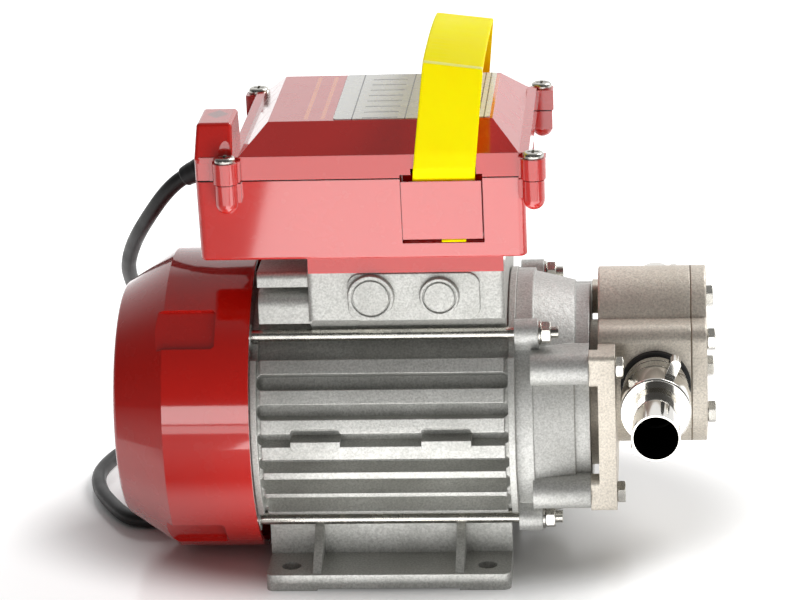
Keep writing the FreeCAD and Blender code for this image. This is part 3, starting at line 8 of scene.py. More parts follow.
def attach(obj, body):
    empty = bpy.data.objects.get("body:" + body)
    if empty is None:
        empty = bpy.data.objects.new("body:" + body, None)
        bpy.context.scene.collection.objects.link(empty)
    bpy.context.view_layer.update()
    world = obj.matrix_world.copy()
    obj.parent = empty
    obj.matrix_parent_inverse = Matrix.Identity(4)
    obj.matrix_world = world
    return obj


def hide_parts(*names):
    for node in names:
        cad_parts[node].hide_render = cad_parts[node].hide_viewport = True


# A motor-driven gear pump in Blender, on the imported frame. The scene is in metres. Constants of shapes are in
# millimetres and degrees, apart from those times MM, and constants of light and floor are in metres.

MM = 0.001
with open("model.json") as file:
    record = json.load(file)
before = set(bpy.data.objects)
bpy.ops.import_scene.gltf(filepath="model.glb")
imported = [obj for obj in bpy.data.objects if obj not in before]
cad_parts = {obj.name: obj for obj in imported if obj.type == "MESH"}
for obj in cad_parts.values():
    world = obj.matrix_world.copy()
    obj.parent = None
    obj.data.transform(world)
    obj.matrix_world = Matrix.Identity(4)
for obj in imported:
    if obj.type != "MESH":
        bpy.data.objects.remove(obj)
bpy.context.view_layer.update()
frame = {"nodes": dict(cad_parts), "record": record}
nodes = frame["nodes"]
scene = bpy.context.scene
slot_of = {s["node"]: s["material_slot"] for s in frame["record"]["subparts"]}

# Camera, fitted to the photograph
CAMERA_AZIMUTH = 4.88
CAMERA_ELEVATION = 18.42
CAMERA_ROLL = 2.30
CAMERA_TARGET = (4.32, 0.0, 104.08)
CAMERA_DISTANCE = 1355.4
SENSOR_WIDTH = 36
LENS = 148.07

# Cord, on the same route as the CAD's
CORD_D = 6.5 * MM
ROUTE = [
    (-74.78, 14.0, 158.5), (-83.5, 15.5, 155.0), (-92.5, 19.0, 147.2), (-102.0, 27.0, 134.0),
    (-111.5, 41.5, 118.5), (-118.0, 58.0, 102.5), (-119.5, 75.5, 89.0), (-120.0, 93.0, 77.5),
    (-119.0, 108.5, 66.0), (-117.0, 120.0, 52.5), (-116.2, 124.0, 36.5), (-117.8, 120.5, 21.5),
    (-121.8, 111.8, 9.2), (-127.8, 99.0, 3.3), (-135.0, 82.5, 3.3), (-138.4, 63.5, 3.3), (-134.5, 44.5, 3.3),
    (-126.2, 27.0, 3.3), (-117.2, 12.3, 3.3), (-107.8, 8.4, 3.3), (-98.4, 11.2, 3.3), (-92.7, 19.6, 3.3),
    (-91.5, 31.5, 3.3), (-89.0, 47.5, 3.3), (-85.5, 66.5, 3.3), (-81.0, 86.0, 3.3), (-76.6, 105.5, 3.3),
    (-69.6, 124.0, 3.3),
]
LEAD_OUT = [(13.6, 134.6, 17.9)]
COIL_CENTRE = (-28.0, 124.0)
COIL_TURNS = 4.31
COIL_STEPS = 70
COIL_START = 156
# Stations of the coil: turns walked, radius, height
COIL_STATIONS = [
    (0.0, 39.25, 3.3), (0.85, 39.25, 3.3), (1.15, 32.75, 3.3), (1.85, 32.75, 3.3), (2.15, 32.75, 9.8),
    (2.85, 32.75, 9.8), (3.15, 39.25, 9.8), (3.72, 39.25, 9.8), (4.05, 36.0, 16.3), (4.4, 36.0, 17.4),
]

# Strain relief, a ribbed taper on the part of the cord's line above RELIEF_LOWEST
RELIEF_START_X = -58.8
RELIEF_LENGTH = 27.0
RELIEF_LOWEST = 120
RELIEF_ROOT_R, RELIEF_TIP_R = 6.9, 4.1
RELIEF_RIB = 0.5
RELIEF_RIB_PITCH = 3.2
RELIEF_STEP = 0.4
RELIEF_SIDES = 40
# Each end is rounded: how far outside it the rounding starts, how long it is, and its share of the radius
RELIEF_ROOT_ROUND, RELIEF_TIP_ROUND = (0.15, 0.9), (0.3, 0.8)
RELIEF_ROUND_SHARE = 0.2

# Carry strap, a band whose left and right edges lean apart above the hinge height
STRAP_X = (15.2, 39.7)
STRAP_LEAN = (0.118, 0.102)
STRAP_RIGHT_SCALE = 0.93
STRAP_HINGE_Z = 170.0
STRAP_T = 1.6
STRAP_LEGS = ((46.11, 147.0), (48.38, 169.4), (52.0, 174.4), (52.0, 181.6))
STRAP_CREASE_Y = 47.6
STRAP_FRONT_Z, STRAP_PEAK_Z, STRAP_REAR_Z = 217.4, 218.6, 213.8
LEG_STEP = 1.6
ARCH_STEPS = 64
CREASE_REACH = 0.9
CREASE_STEPS = 6
# Corners of the band's edge: the share across the band, and the place in its thickness, 1 outside to -1 inside
BAND_EDGE = [(0.0, -0.35), (0.0, 0.35), (0.006, 0.8), (0.022, 1.0)]
BAND_STEPS = 24
GRIP_Y = (-45.0, -10.0)
GRIP_ACROSS = (0.06, 0.40)
GRIP_FADE = 0.04
GRIP_PITCH = 5.0
GRIP_DEPTH = 0.22

# Hook at the end of each leg. Its stations are y, z and how far the bar has turned outwards.
HOOK_X = (25.8, 35.4)
HOOK_CORNER = 0.3
HOOK_STATIONS = (
    (-44.95, 150.0, 0), (-44.95, 146.0, 0), (-44.95, 145.4, 0), (-45.05, 144.7, 45), (-45.5, 144.25, 80),
    (-46.2, 144.2, 90), (-47.2, 144.2, 90),
)
HOOK_HALF_T, HOOK_TIP_HALF_T = 0.8, 0.5
HOOK_TIP_FROM = 50

# Marks and borders of the materials, and colours of painted shade and highlight
STRIPES_X = (-27.5, -20.8, 46.2)
STRIPE_HALF = 0.8
STRIPE_REACH_Y = 32.5
STRIPE_LOWEST = 190.55
STRIPE_COLOUR = (0.80, 0.16, 0.02)
# Painted shade: the darker diamond on the lid's block stands in for the shading of an embossed arrow
DIAMOND_CENTRE = (-62.2, -33.0)
DIAMOND_HALF = (4.4, 6.0)
DIAMOND_LOWEST = 193.4
DIAMOND_SHADE_COLOUR = (0.20, 0.004, 0.003)
PLATE_ROW = 8.4
PLATE_ROW_SHARE = 0.13
PLATE_ROWS_X = (-5.0, 9.0)
PLATE_RULES_X = (-9.0, 12.0, 41.0, 43.2)
PLATE_RULE_HALF = 0.25
PLATE_COLOUR, PLATE_INK = (0.80, 0.81, 0.80), (0.20, 0.21, 0.22)
LAMINATION = 0.5
# Painted highlight on the strap's front fold, in part a stress-whitened line in the plastic
FOLD_Y, FOLD_HALF, FOLD_LOWEST = -47.05, 0.6, 211
FOLD_SHARE = 0.8
FOLD_WHITENING_AND_HIGHLIGHT = (0.95, 0.92, 0.45)
REAR_LEG_FROM_Y = 44
# Painted shade: the rear leg, whose inner side is seen in shadow, is coloured deeper orange
REAR_LEG_SHADE_COLOUR = (0.95, 0.66, 0.002)
PORT_X, PORT_Z, BORE_R = 109, 78.5, 8.75
# Painted shade: the bore of the port's tube is coloured near black
BORE_SHADE_COLOUR = (0.004, 0.004, 0.004)

# Floor
FLOOR_HALF = 6.0
FLOOR_COLOUR = (0.92, 0.915, 0.91, 1)
FLOOR_ROUGHNESS = 0.18
FLOOR_LIFT = 0.64
SHADOW_HALF = (0.15, 0.09)
SHADOW_SHIFT = (0, -0.28, 0)
SHADOW_FADE = (0.80, 1.25)
BEHIND_FRONT_Y = (-0.11, -0.075)

# World, by a ray's direction: the span of each fade and the strength at its weak end
SKY_TILT = 0.8
SKY_TILT_FROM_Y = -0.1
SKY_FADE, SKY_DIM = (0.06, 0.42), 0.40
SIDE_FADE, SIDE_DIM = (-0.1, 0.7), 0.62
LEFT_FADE, LEFT_DIM = (-0.95, -0.35), 0.25
FRONT_FADE, FRONT_DIM = (-0.55, 0.1), 0.30
MATT_DIM = 0.85

# Lamps. Powers are in watts, radiances in watts per square metre and steradian.
BACK_PLACE, BACK_AIM = (1.0, 0.75, 1.45), (0, 0, 0.05)
BACK_SIZE = (0.9, 0.9)
BACK_POWER = 20
PANEL_HEIGHT = 3 * MM
PANELS = (
    ("near_table", ((-0.085, -0.40), (0.07, -0.20)), 3.1),
    ("foot_table", ((-0.045, -0.20), (0.07, -0.065)), 2.9),
    ("turret_table", ((-0.085, -0.50), (0.07, -0.40)), 1.3),
    ("right_table", ((0.07, -0.46), (0.50, -0.19)), 2.5),
    ("far_table", ((-0.7, -1.6), (0.9, -0.50)), 1.8),
)
STRIP_PLACE, STRIP_AIM = (-0.33, -1.6, 0.23), (-0.33, 0, 0.23)
STRIP_SIZE = (0.34, 0.38)
STRIP_RADIANCE = 3.2


# Camera

def add_camera():
    azimuth, elevation, roll = (math.radians(a) for a in (CAMERA_AZIMUTH, CAMERA_ELEVATION, CAMERA_ROLL))
    target = Vector(CAMERA_TARGET) * MM
    level = math.cos(elevation)
    back = Vector((math.sin(azimuth) * level, -math.cos(azimuth) * level, math.sin(elevation)))
    right = Vector((math.cos(azimuth), math.sin(azimuth), 0))
    up = back.cross(right)
    turned_right = right * math.cos(roll) - up * math.sin(roll)
    turned_up = up * math.cos(roll) + right * math.sin(roll)
    camera = bpy.data.objects.new("camera", bpy.data.cameras.new("camera"))
    scene.collection.objects.link(camera)
    place = target + back * CAMERA_DISTANCE * MM
    columns = Matrix((turned_right, turned_up, back)).transposed().to_4x4()
    camera.matrix_world = Matrix.Translation(place) @ columns
    camera.data.sensor_width = SENSOR_WIDTH
    camera.data.lens = LENS
    camera.data.clip_start = 0.01
    camera.data.clip_end = 50
    scene.camera = camera


# Shapes

def shade_smooth(mesh):
    for polygon in mesh.polygons:
        polygon.use_smooth = True


def mesh_piece(name, rings):
    """A capped mesh through rings of points in millimetres, each ring closed round."""
    count = len(rings[0])
    vertices = [tuple(v * MM for v in p) for ring in rings for p in ring]
    faces = []
    for i in range(len(rings) - 1):
        for j in range(count):
            k = (j + 1) % count
            faces.append((i * count + j, i * count + k, (i + 1) * count + k, (i + 1) * count + j))
    faces.append(tuple(reversed(range(count))))
    last = (len(rings) - 1) * count
    faces.append(tuple(last + j for j in range(count)))
    mesh = bpy.data.meshes.new(name)
    mesh.from_pydata(vertices, [], faces)
    mesh.update()
    shade_smooth(mesh)
    piece = bpy.data.objects.new(name, mesh)
    scene.collection.objects.link(piece)
    return piece


# Cord

def between(stations, t):
    """The stations' values at t, eased from one station to the next."""
    for a, b in zip(stations, stations[1:]):
        if t <= b[0]:
            share = max(0.0, (t - a[0]) / (b[0] - a[0]))
            smooth = share * share * (3 - 2 * share)
            return [x + (y - x) * smooth for x, y in zip(a[1:], b[1:])]
    return list(stations[-1][1:])


def coil_points():
    """Points round the coil, whose turns lie beside and on each other."""
    points = []
    for i in range(COIL_STEPS + 1):
        t = COIL_TURNS * i / COIL_STEPS
        r, z = between(COIL_STATIONS, t)
        angle = math.radians(COIL_START - 360 * t)
        points.append((COIL_CENTRE[0] + r * math.cos(angle), COIL_CENTRE[1] + r * math.sin(angle), z))
    return points


def nurbs(name, points, radius):
    """A round cord along a smooth spline through the control points."""
    curve = bpy.data.curves.new(name, "CURVE")
    curve.dimensions = "3D"
    spline = curve.splines.new("NURBS")
    spline.points.add(len(points) - 1)
    for p, co in zip(spline.points, points):
        p.co = (co[0] * MM, co[1] * MM, co[2] * MM, 1)
    spline.order_u = 3
    spline.use_endpoint_u = True
    spline.resolution_u = 6
    curve.bevel_depth = radius
    curve.bevel_resolution = 6
    curve.use_fill_caps = True
    piece = bpy.data.objects.new(name, curve)
    scene.collection.objects.link(piece)
    return piece


def add_cord():
    cord = nurbs("mains_cord", ROUTE + coil_points() + LEAD_OUT, CORD_D / 2)
    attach(cord, "motor")
    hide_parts("power_cord", "cord_coil")
    return cord


# Strain relief

def line_of(cord):
    """Points in millimetres along the cord's spline, from a copy of the curve with no bevel."""
    curve = cord.data.copy()
    curve.bevel_depth = 0
    bare = bpy.data.objects.new("route", curve)
    scene.collection.objects.link(bare)
    mesh = bpy.data.meshes.new_from_object(bare)
    points = [v.co / MM for v in mesh.vertices]
    bpy.data.objects.remove(bare)
    bpy.data.meshes.remove(mesh)
    return points


def relief_radius(walked):
    """Radius of the relief at a length from its root: a taper with ribs that fade, rounded at both ends."""
    share = walked / RELIEF_LENGTH
    base = RELIEF_ROOT_R + (RELIEF_TIP_R - RELIEF_ROOT_R) * share
    wave = max(0.0, math.sin(2 * math.pi * walked / RELIEF_RIB_PITCH)) ** 0.5
    rib = RELIEF_RIB * (1 - share) * wave
    inside = min(1.0, (walked + RELIEF_ROOT_ROUND[0]) / RELIEF_ROOT_ROUND[1],
                 (RELIEF_LENGTH - walked + RELIEF_TIP_ROUND[0]) / RELIEF_TIP_ROUND[1])
    return (base + rib) * (1 - RELIEF_ROUND_SHARE + RELIEF_ROUND_SHARE * math.sqrt(max(0.0, inside)))


def add_strain_relief(cord):
    line = [Vector((RELIEF_START_X, ROUTE[0][1], ROUTE[0][2]))]
    line += [p for p in line_of(cord) if p.z > RELIEF_LOWEST]
    distance = [0.0]
    for a, b in zip(line, line[1:]):
        distance.append(distance[-1] + (b - a).length)
    turns = [2 * math.pi * j / RELIEF_SIDES for j in range(RELIEF_SIDES)]
    rings = []
    for i in range(int(RELIEF_LENGTH / RELIEF_STEP) + 1):
        walked = i * RELIEF_STEP
        k = max(j for j, d in enumerate(distance[:-1]) if d <= walked)
        a, b = line[k], line[k + 1]
        here = a.lerp(b, (walked - distance[k]) / (distance[k + 1] - distance[k]))
        along = (line[min(k + 2, len(line) - 1)] - a).normalized()
        across = along.cross(Vector((0, 0, 1))).normalized()
        other = along.cross(across)
        r = relief_radius(walked)
        rings.append([here + across * (r * math.cos(t)) + other * (r * math.sin(t)) for t in turns])
    relief = mesh_piece("strain_relief", rings)
    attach(relief, "motor")
    return relief


# Carry strap

def divided(a, b):
    """Points from a towards b at about the leg's step, without b."""
    count = max(2, round(math.dist(a, b) / LEG_STEP))
    return [(a[0] + (b[0] - a[0]) * i / count, a[1] + (b[1] - a[1]) * i / count) for i in range(count)]


def arch(front, peak, rear):
    """Points (y, z) on the circle through three points, without the last one."""
    (ay, az), (by, bz), (cy, cz) = front, peak, rear
    d = 2 * (ay * (bz - cz) + by * (cz - az) + cy * (az - bz))
    a2, b2, c2 = ay ** 2 + az ** 2, by ** 2 + bz ** 2, cy ** 2 + cz ** 2
    y0 = (a2 * (bz - cz) + b2 * (cz - az) + c2 * (az - bz)) / d
    z0 = (a2 * (cy - by) + b2 * (ay - cy) + c2 * (by - ay)) / d
    r = math.hypot(ay - y0, az - z0)
    start, end = math.atan2(az - z0, ay - y0), math.atan2(cz - z0, cy - y0)
    turns = [start + (end - start) * i / ARCH_STEPS for i in range(ARCH_STEPS)]
    return [(y0 + r * math.cos(t), z0 + r * math.sin(t)) for t in turns]


def creased(before, corner, after):
    """A small rounded fold in place of a corner."""
    a, b = ([c + (v - c) * CREASE_REACH / math.dist(end, corner) for v, c in zip(end, corner)]
            for end in (before, after))
    points = []
    for i in range(CREASE_STEPS + 1):
        t = i / CREASE_STEPS
        shares = (1 - t) ** 2, 2 * t * (1 - t), t * t
        points.append(tuple(shares[0] * p + shares[1] * q + shares[2] * r for p, q, r in zip(a, corner, b)))
    return points


def strap_path(inward):
    """Stations (y, z) up the front leg, over the arch and down the rear leg."""
    legs = [(y - inward, z) for y, z in STRAP_LEGS]
    crease = STRAP_CREASE_Y - inward
    front, rear = (-crease, STRAP_FRONT_Z - inward), (crease, STRAP_REAR_Z - inward)
    up = [(-y, z) for y, z in legs] + [front]
    down = [rear] + list(reversed(legs))
    path = []
    for a, b in zip(up, up[1:]):
        path += divided(a, b)
    front_at = len(path)
    path += arch(front, (0.0, STRAP_PEAK_Z - inward), rear)
    rear_at = len(path)
    for a, b in zip(down, down[1:]):
        path += divided(a, b)
    path.append(down[-1])
    for at in (rear_at, front_at):
        path[at:at + 1] = creased(path[at - 1], path[at], path[at + 1])
    return path


def strap_point(across, y, z):
    """The point a share across the band at a station, whose height is scaled for the right edge."""
    z_right = STRAP_HINGE_Z + STRAP_RIGHT_SCALE * (z - STRAP_HINGE_Z)
    left = Vector((STRAP_X[0] + STRAP_LEAN[0] * (z - STRAP_HINGE_Z), y, z))
    right = Vector((STRAP_X[1] + STRAP_LEAN[1] * (z_right - STRAP_HINGE_Z), y, z_right))
    return left.lerp(right, across)


def grip(across, y):
    """Depth of the shallow grip grooves on the front half of the arch."""
    if not GRIP_Y[0] < y < GRIP_Y[1]:
        return 0.0
    first, last = GRIP_ACROSS
    inside = min(1.0, max(0.0, (across - first) / GRIP_FADE), max(0.0, (last - across) / GRIP_FADE))
    return GRIP_DEPTH * inside * max(0.0, math.sin(2 * math.pi * (y - GRIP_Y[0]) / GRIP_PITCH)) ** 2


def band_rings():
    """Rings of the band, with a rounded edge on both sides and the grooves in its outer face."""
    edge = BAND_EDGE[-1][0]
    flat = [edge + (1 - 2 * edge) * i / BAND_STEPS for i in range(1, BAND_STEPS)]
    corners = BAND_EDGE[2:]
    section = BAND_EDGE + [(u, 1.0) for u in flat] + [(1 - u, w) for u, w in reversed(BAND_EDGE)]
    section += [(1 - u, -w) for u, w in corners] + [(1 - u, -1.0) for u in flat]
    section += [(u, -w) for u, w in reversed(corners)]
    rings = []
    for (ya, za), (yb, zb) in zip(strap_path(0.0), strap_path(STRAP_T)):
        ring = []
        for u, w in section:
            share = (1 - w) / 2
            if w == 1:
                share += grip(u, ya) / STRAP_T
            ring.append(strap_point(u, ya + (yb - ya) * share, za + (zb - za) * share))
        rings.append(ring)
    return rings


def hook_rings(side):
    """Rings of the narrow hook that turns outwards under the clip, at the front (-1) or the rear (1)."""
    x0, x1 = HOOK_X
    section = ((x0, -0.5), (x0, 0.5), (x0 + HOOK_CORNER, 1), (x1 - HOOK_CORNER, 1),
               (x1, 0.5), (x1, -0.5), (x1 - HOOK_CORNER, -1), (x0 + HOOK_CORNER, -1))
    rings = []
    for y, z, turned in HOOK_STATIONS:
        half = HOOK_HALF_T if turned < HOOK_TIP_FROM else HOOK_TIP_HALF_T
        c, d = math.cos(math.radians(turned)), math.sin(math.radians(turned))
        rings.append([Vector((x, side * -(y - w * half * c), z + w * half * d)) for x, w in section])
    return rings


def add_strap():
    pieces = []
    for name, rings in (("strap_band", band_rings()), ("strap_hook_front", hook_rings(-1)),
                        ("strap_hook_rear", hook_rings(1))):
        piece = mesh_piece(name, rings)
        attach(piece, "motor")
        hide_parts("carry_strap")
        pieces.append(piece)
    return pieces


# Shader nodes

def feed(tree, socket, value):
    """Sets a socket to a number, or links another socket to it."""
    if isinstance(value, (int, float)):
        socket.default_value = value
    else:
        tree.links.new(value, socket)


def calculate(tree, operation, a, b=None):
    node = tree.nodes.new("ShaderNodeMath")
    node.operation = operation
    feed(tree, node.inputs[0], a)
    if b is not None:
        feed(tree, node.inputs[1], b)
    return node.outputs[0]


def product(tree, *values):
    total = values[0]
    for value in values[1:]:
        total = calculate(tree, "MULTIPLY", total, value)
    return total


def remap(tree, value, span, low=0.0, high=1.0, kind="LINEAR"):
    """Maps the span onto low to high, held at both ends."""
    node = tree.nodes.new("ShaderNodeMapRange")
    node.interpolation_type = kind
    for name, number in zip(("From Min", "From Max", "To Min", "To Max"), (*span, low, high)):
        node.inputs[name].default_value = number
    tree.links.new(value, node.inputs["Value"])
    return node.outputs[0]


def parts_of(tree, vector):
    """The X, Y and Z of a vector socket."""
    node = tree.nodes.new("ShaderNodeSeparateXYZ")
    tree.links.new(vector, node.inputs[0])
    return node.outputs


# Materials

class Material:
    """A procedural material on object coordinates, with a few shorthands."""

    def __init__(self, name):
        self.material = bpy.data.materials.new(name)
        self.material.use_nodes = True
        self.tree = self.material.node_tree
        self.tree.nodes.clear()
        output = self.tree.nodes.new("ShaderNodeOutputMaterial")
        self.shader = self.tree.nodes.new("ShaderNodeBsdfPrincipled")
        self.link(self.shader.outputs[0], output.inputs[0])
        self.place = self.tree.nodes.new("ShaderNodeTexCoord").outputs["Object"]

    def link(self, source, target):
        self.tree.links.new(source, target)

    def axes(self):
        return parts_of(self.tree, self.place)

    def math(self, operation, a, b=None):
        return calculate(self.tree, operation, a, b)

    def spread(self, value, span, low=0.0, high=1.0):
        return remap(self.tree, value, span, low, high)

    def band(self, value, centre, half):
        """1 within half of the centre, else 0."""
        away = self.math("ABSOLUTE", self.math("SUBTRACT", value, centre * MM))
        return self.math("LESS_THAN", away, half * MM)

    def any_of(self, masks):
        total = masks[0]
        for mask in masks[1:]:
            total = self.math("MAXIMUM", total, mask)
        return total

    def all_of(self, *masks):
        return product(self.tree, *masks)

    def stretched(self, scale):
        mapping = self.tree.nodes.new("ShaderNodeMapping")
        mapping.inputs["Scale"].default_value = scale
        self.link(self.place, mapping.inputs["Vector"])
        return mapping.outputs[0]

    def noise(self, scale, detail=3.0, rough=0.55, vector=None):
        node = self.tree.nodes.new("ShaderNodeTexNoise")
        node.inputs["Scale"].default_value = scale
        node.inputs["Detail"].default_value = detail
        node.inputs["Roughness"].default_value = rough
        self.link(vector or self.place, node.inputs["Vector"])
        return node.outputs["Fac"]

    def mix(self, share, a, b):
        node = self.tree.nodes.new("ShaderNodeMix")
        node.data_type = "RGBA"
        self.link(share, node.inputs["Factor"])
        for socket, value in ((node.inputs[6], a), (node.inputs[7], b)):
            if isinstance(value, tuple):
                socket.default_value = (*value, 1)
            else:
                self.link(value, socket)
        return node.outputs[2]

    def color(self, value):
        self.link(value, self.shader.inputs["Base Color"])

    def rough(self, scale, limits, detail=3):
        """Roughness that wanders between two limits in patches."""
        value = self.spread(self.noise(scale, detail), (0.3, 0.7), *limits)
        self.link(value, self.shader.inputs["Roughness"])

    def round_edges(self, radius):
        node = self.tree.nodes.new("ShaderNodeBevel")
        node.samples = 6
        node.inputs["Radius"].default_value = radius * MM
        self.link(node.outputs[0], self.shader.inputs["Normal"])

    def bump(self, height, depth):
        """Adds a height of some depth in millimetres to whatever shapes the normal so far."""
        node = self.tree.nodes.new("ShaderNodeBump")
        node.inputs["Strength"].default_value = 1.0
        node.inputs["Distance"].default_value = depth * MM
        self.link(height, node.inputs["Height"])
        normal = self.shader.inputs["Normal"]
        if normal.links:
            self.link(normal.links[0].from_socket, node.inputs["Normal"])
        self.link(node.outputs[0], normal)

    def set(self, **values):
        """Sets constants on the shader's own sockets."""
        for key, value in values.items():
            self.shader.inputs[key.replace("_", " ")].default_value = value


def metal(name, light, dark, rough, grain=900, grain_depth=0.05, blotch=60, edge=0.35):
    """Machined or plated metal with faint blotches and a fine grain."""
    m = Material(name)
    m.set(Metallic=1.0)
    m.round_edges(edge)
    patches = m.noise(blotch, 4)
    fine = m.noise(grain, 2, 0.6)
    m.color(m.mix(m.spread(patches, (0.35, 0.7)), light, dark))
    m.rough(blotch * 2.5, rough)
    m.bump(fine, grain_depth)
    return m


def plastic(name, light, dark, rough, grain=700, grain_depth=0.02):
    """Plastic, rubber or fibre with a fine grain."""
    m = Material(name)
    m.round_edges(0.3)
    m.color(m.mix(m.spread(m.noise(30, 3), (0.3, 0.75)), light, dark))
    m.rough(90, rough)
    m.bump(m.noise(grain, 2), grain_depth)
    return m


def blasted(name, light, dark, rough, edge):
    """Cast metal with a blasted skin: a fine speckle in colour, gloss and height."""
    m = Material(name)
    m.set(Metallic=0.55)
    m.round_edges(edge)
    speckle = m.noise(1150, 2, 0.7)
    base = m.mix(m.spread(m.noise(38, 4), (0.35, 0.7)), light, dark)
    m.color(m.mix(m.spread(speckle, (0.38, 0.66), 0, 0.55), base, tuple(0.55 * v for v in dark)))
    m.rough(300, rough)
    m.bump(speckle, 0.10)
    m.bump(m.noise(420, 3, 0.6), 0.12)
    return m


def print_stripes(m, base):
    """Thin stripes of print along the lid's flat top, two at the left and one at the right, worn in places."""
    x, y, z = m.axes()
    stripes = m.any_of([m.band(x, centre, STRIPE_HALF) for centre in STRIPES_X])
    inside = m.math("LESS_THAN", m.math("ABSOLUTE", y), STRIPE_REACH_Y * MM)
    above = m.math("GREATER_THAN", z, STRIPE_LOWEST * MM)
    unworn = m.math("GREATER_THAN", m.noise(1, 3, 0.6, m.stretched((150, 900, 1))), 0.40)
    return m.mix(m.all_of(stripes, inside, above, unworn), base, STRIPE_COLOUR)


def tower_diamond_shade(m, base):
    """Painted shade: a plain darker diamond on top of the block at the lid's left front, for the shading of an
    embossed arrow.
    """
    x, y, z = m.axes()
    shares = []
    for axis, centre, half in zip((x, y), DIAMOND_CENTRE, DIAMOND_HALF):
        away = m.math("ABSOLUTE", m.math("SUBTRACT", axis, centre * MM))
        shares.append(m.math("DIVIDE", away, half * MM))
    inside = m.math("LESS_THAN", m.math("ADD", *shares), 1.0)
    above = m.math("GREATER_THAN", z, DIAMOND_LOWEST * MM)
    return m.mix(m.all_of(inside, above), base, DIAMOND_SHADE_COLOUR)


def red_gloss(name, printed_and_shaded=False):
    """Glossy red plastic, with the lid's print and its painted shade where asked."""
    m = Material(name)
    m.round_edges(0.7)
    base = m.mix(m.spread(m.noise(26, 3), (0.3, 0.75)), (0.62, 0.008, 0.003), (0.57, 0.007, 0.0025))
    if printed_and_shaded:
        # Stripes of print, then a diamond of painted shade
        base = tower_diamond_shade(m, print_stripes(m, base))
    m.color(base)
    m.rough(90, (0.22, 0.30))
    m.set(Coat_Weight=1.0, Coat_IOR=1.82, Coat_Roughness=0.07, Specular_IOR_Level=0.12)
    m.bump(m.noise(60, 2), 0.05)
    m.bump(m.noise(1500, 2), 0.004)
    return m


def plate_film():
    """A pale plate with plain rules and rows."""
    m = Material("plate_film")
    x, y, z = m.axes()
    row = m.math("FRACT", m.math("MULTIPLY", y, 1 / (PLATE_ROW * MM)))
    line = m.math("LESS_THAN", row, PLATE_ROW_SHARE)
    before = m.math("LESS_THAN", x, PLATE_ROWS_X[1] * MM)
    past = m.math("GREATER_THAN", x, PLATE_ROWS_X[0] * MM)
    rules = m.any_of([m.band(x, centre, PLATE_RULE_HALF) for centre in PLATE_RULES_X])
    m.color(m.mix(m.any_of([m.all_of(line, before, past), rules]), PLATE_COLOUR, PLATE_INK))
    m.rough(120, (0.22, 0.32), 2)
    m.bump(m.noise(900, 2), 0.004)
    return m


def windings():
    """Copper wire with its strands along the shaft's axis."""
    m = metal("windings", (0.52, 0.20, 0.07), (0.34, 0.11, 0.04), (0.30, 0.45), 900, 0.05, 90)
    m.bump(m.noise(1, 2, 0.5, m.stretched((1600, 240, 240))), 0.25)
    return m


def laminations():
    """Stacked sheets of core steel."""
    m = metal("laminations", (0.36, 0.37, 0.39), (0.24, 0.25, 0.27), (0.40, 0.55), 900, 0.03, 60)
    m.bump(m.math("FRACT", m.math("MULTIPLY", m.axes()[0], 1 / (LAMINATION * MM))), 0.05)
    return m


def yellow_band():
    """Soft yellow plastic that lets light through. Painted on it: a pale highlight on its front fold, in part
    stress-whitened, a deeper shade on the rear leg and a faint glow.
    """
    m = Material("yellow_band")
    x, y, z = m.axes()
    # Painted highlight along the front fold, in part stress-whitened plastic
    fold = m.all_of(m.band(y, FOLD_Y, FOLD_HALF), m.math("GREATER_THAN", z, FOLD_LOWEST * MM))
    body = m.mix(m.spread(m.noise(25, 3), (0.3, 0.75)), (0.95, 0.84, 0.002), (0.92, 0.77, 0.001))
    # Painted shade: deeper orange on the rear leg
    body = m.mix(m.math("GREATER_THAN", y, REAR_LEG_FROM_Y * MM), body, REAR_LEG_SHADE_COLOUR)
    m.color(m.mix(m.math("MULTIPLY", fold, FOLD_SHARE), body, FOLD_WHITENING_AND_HIGHLIGHT))
    m.rough(90, (0.40, 0.52))
    m.bump(m.noise(1100, 2), 0.01)
    m.set(Specular_IOR_Level=0.03, Subsurface_Weight=0.8, Subsurface_Radius=(0.006, 0.005, 0.0003))
    # Painted light: a faint yellow glow stands in for light shining through the band
    m.set(Emission_Color=(1.0, 0.80, 0.0, 1), Emission_Strength=0.13)
    return m


def polished_tube():
    """Bright outside, with painted shade in the bore, which is coloured near black and given no reflection."""
    m = metal("polished_tube", (0.84, 0.82, 0.77), (0.76, 0.74, 0.70), (0.05, 0.11), 300, 0.006, 30, 0.15)
    x, y, z = m.axes()
    aside, up = m.math("SUBTRACT", x, PORT_X * MM), m.math("SUBTRACT", z, PORT_Z * MM)
    square = m.math("ADD", m.math("MULTIPLY", aside, aside), m.math("MULTIPLY", up, up))
    bore = m.math("LESS_THAN", square, (BORE_R * MM) ** 2)
    bright = m.shader.inputs["Base Color"].links[0].from_socket
    # Painted shade inside the bore
    m.color(m.mix(bore, bright, BORE_SHADE_COLOUR))
    outside = m.math("SUBTRACT", 1.0, bore)
    m.link(outside, m.shader.inputs["Metallic"])
    m.link(m.math("MULTIPLY", outside, 0.5), m.shader.inputs["Specular IOR Level"])
    return m


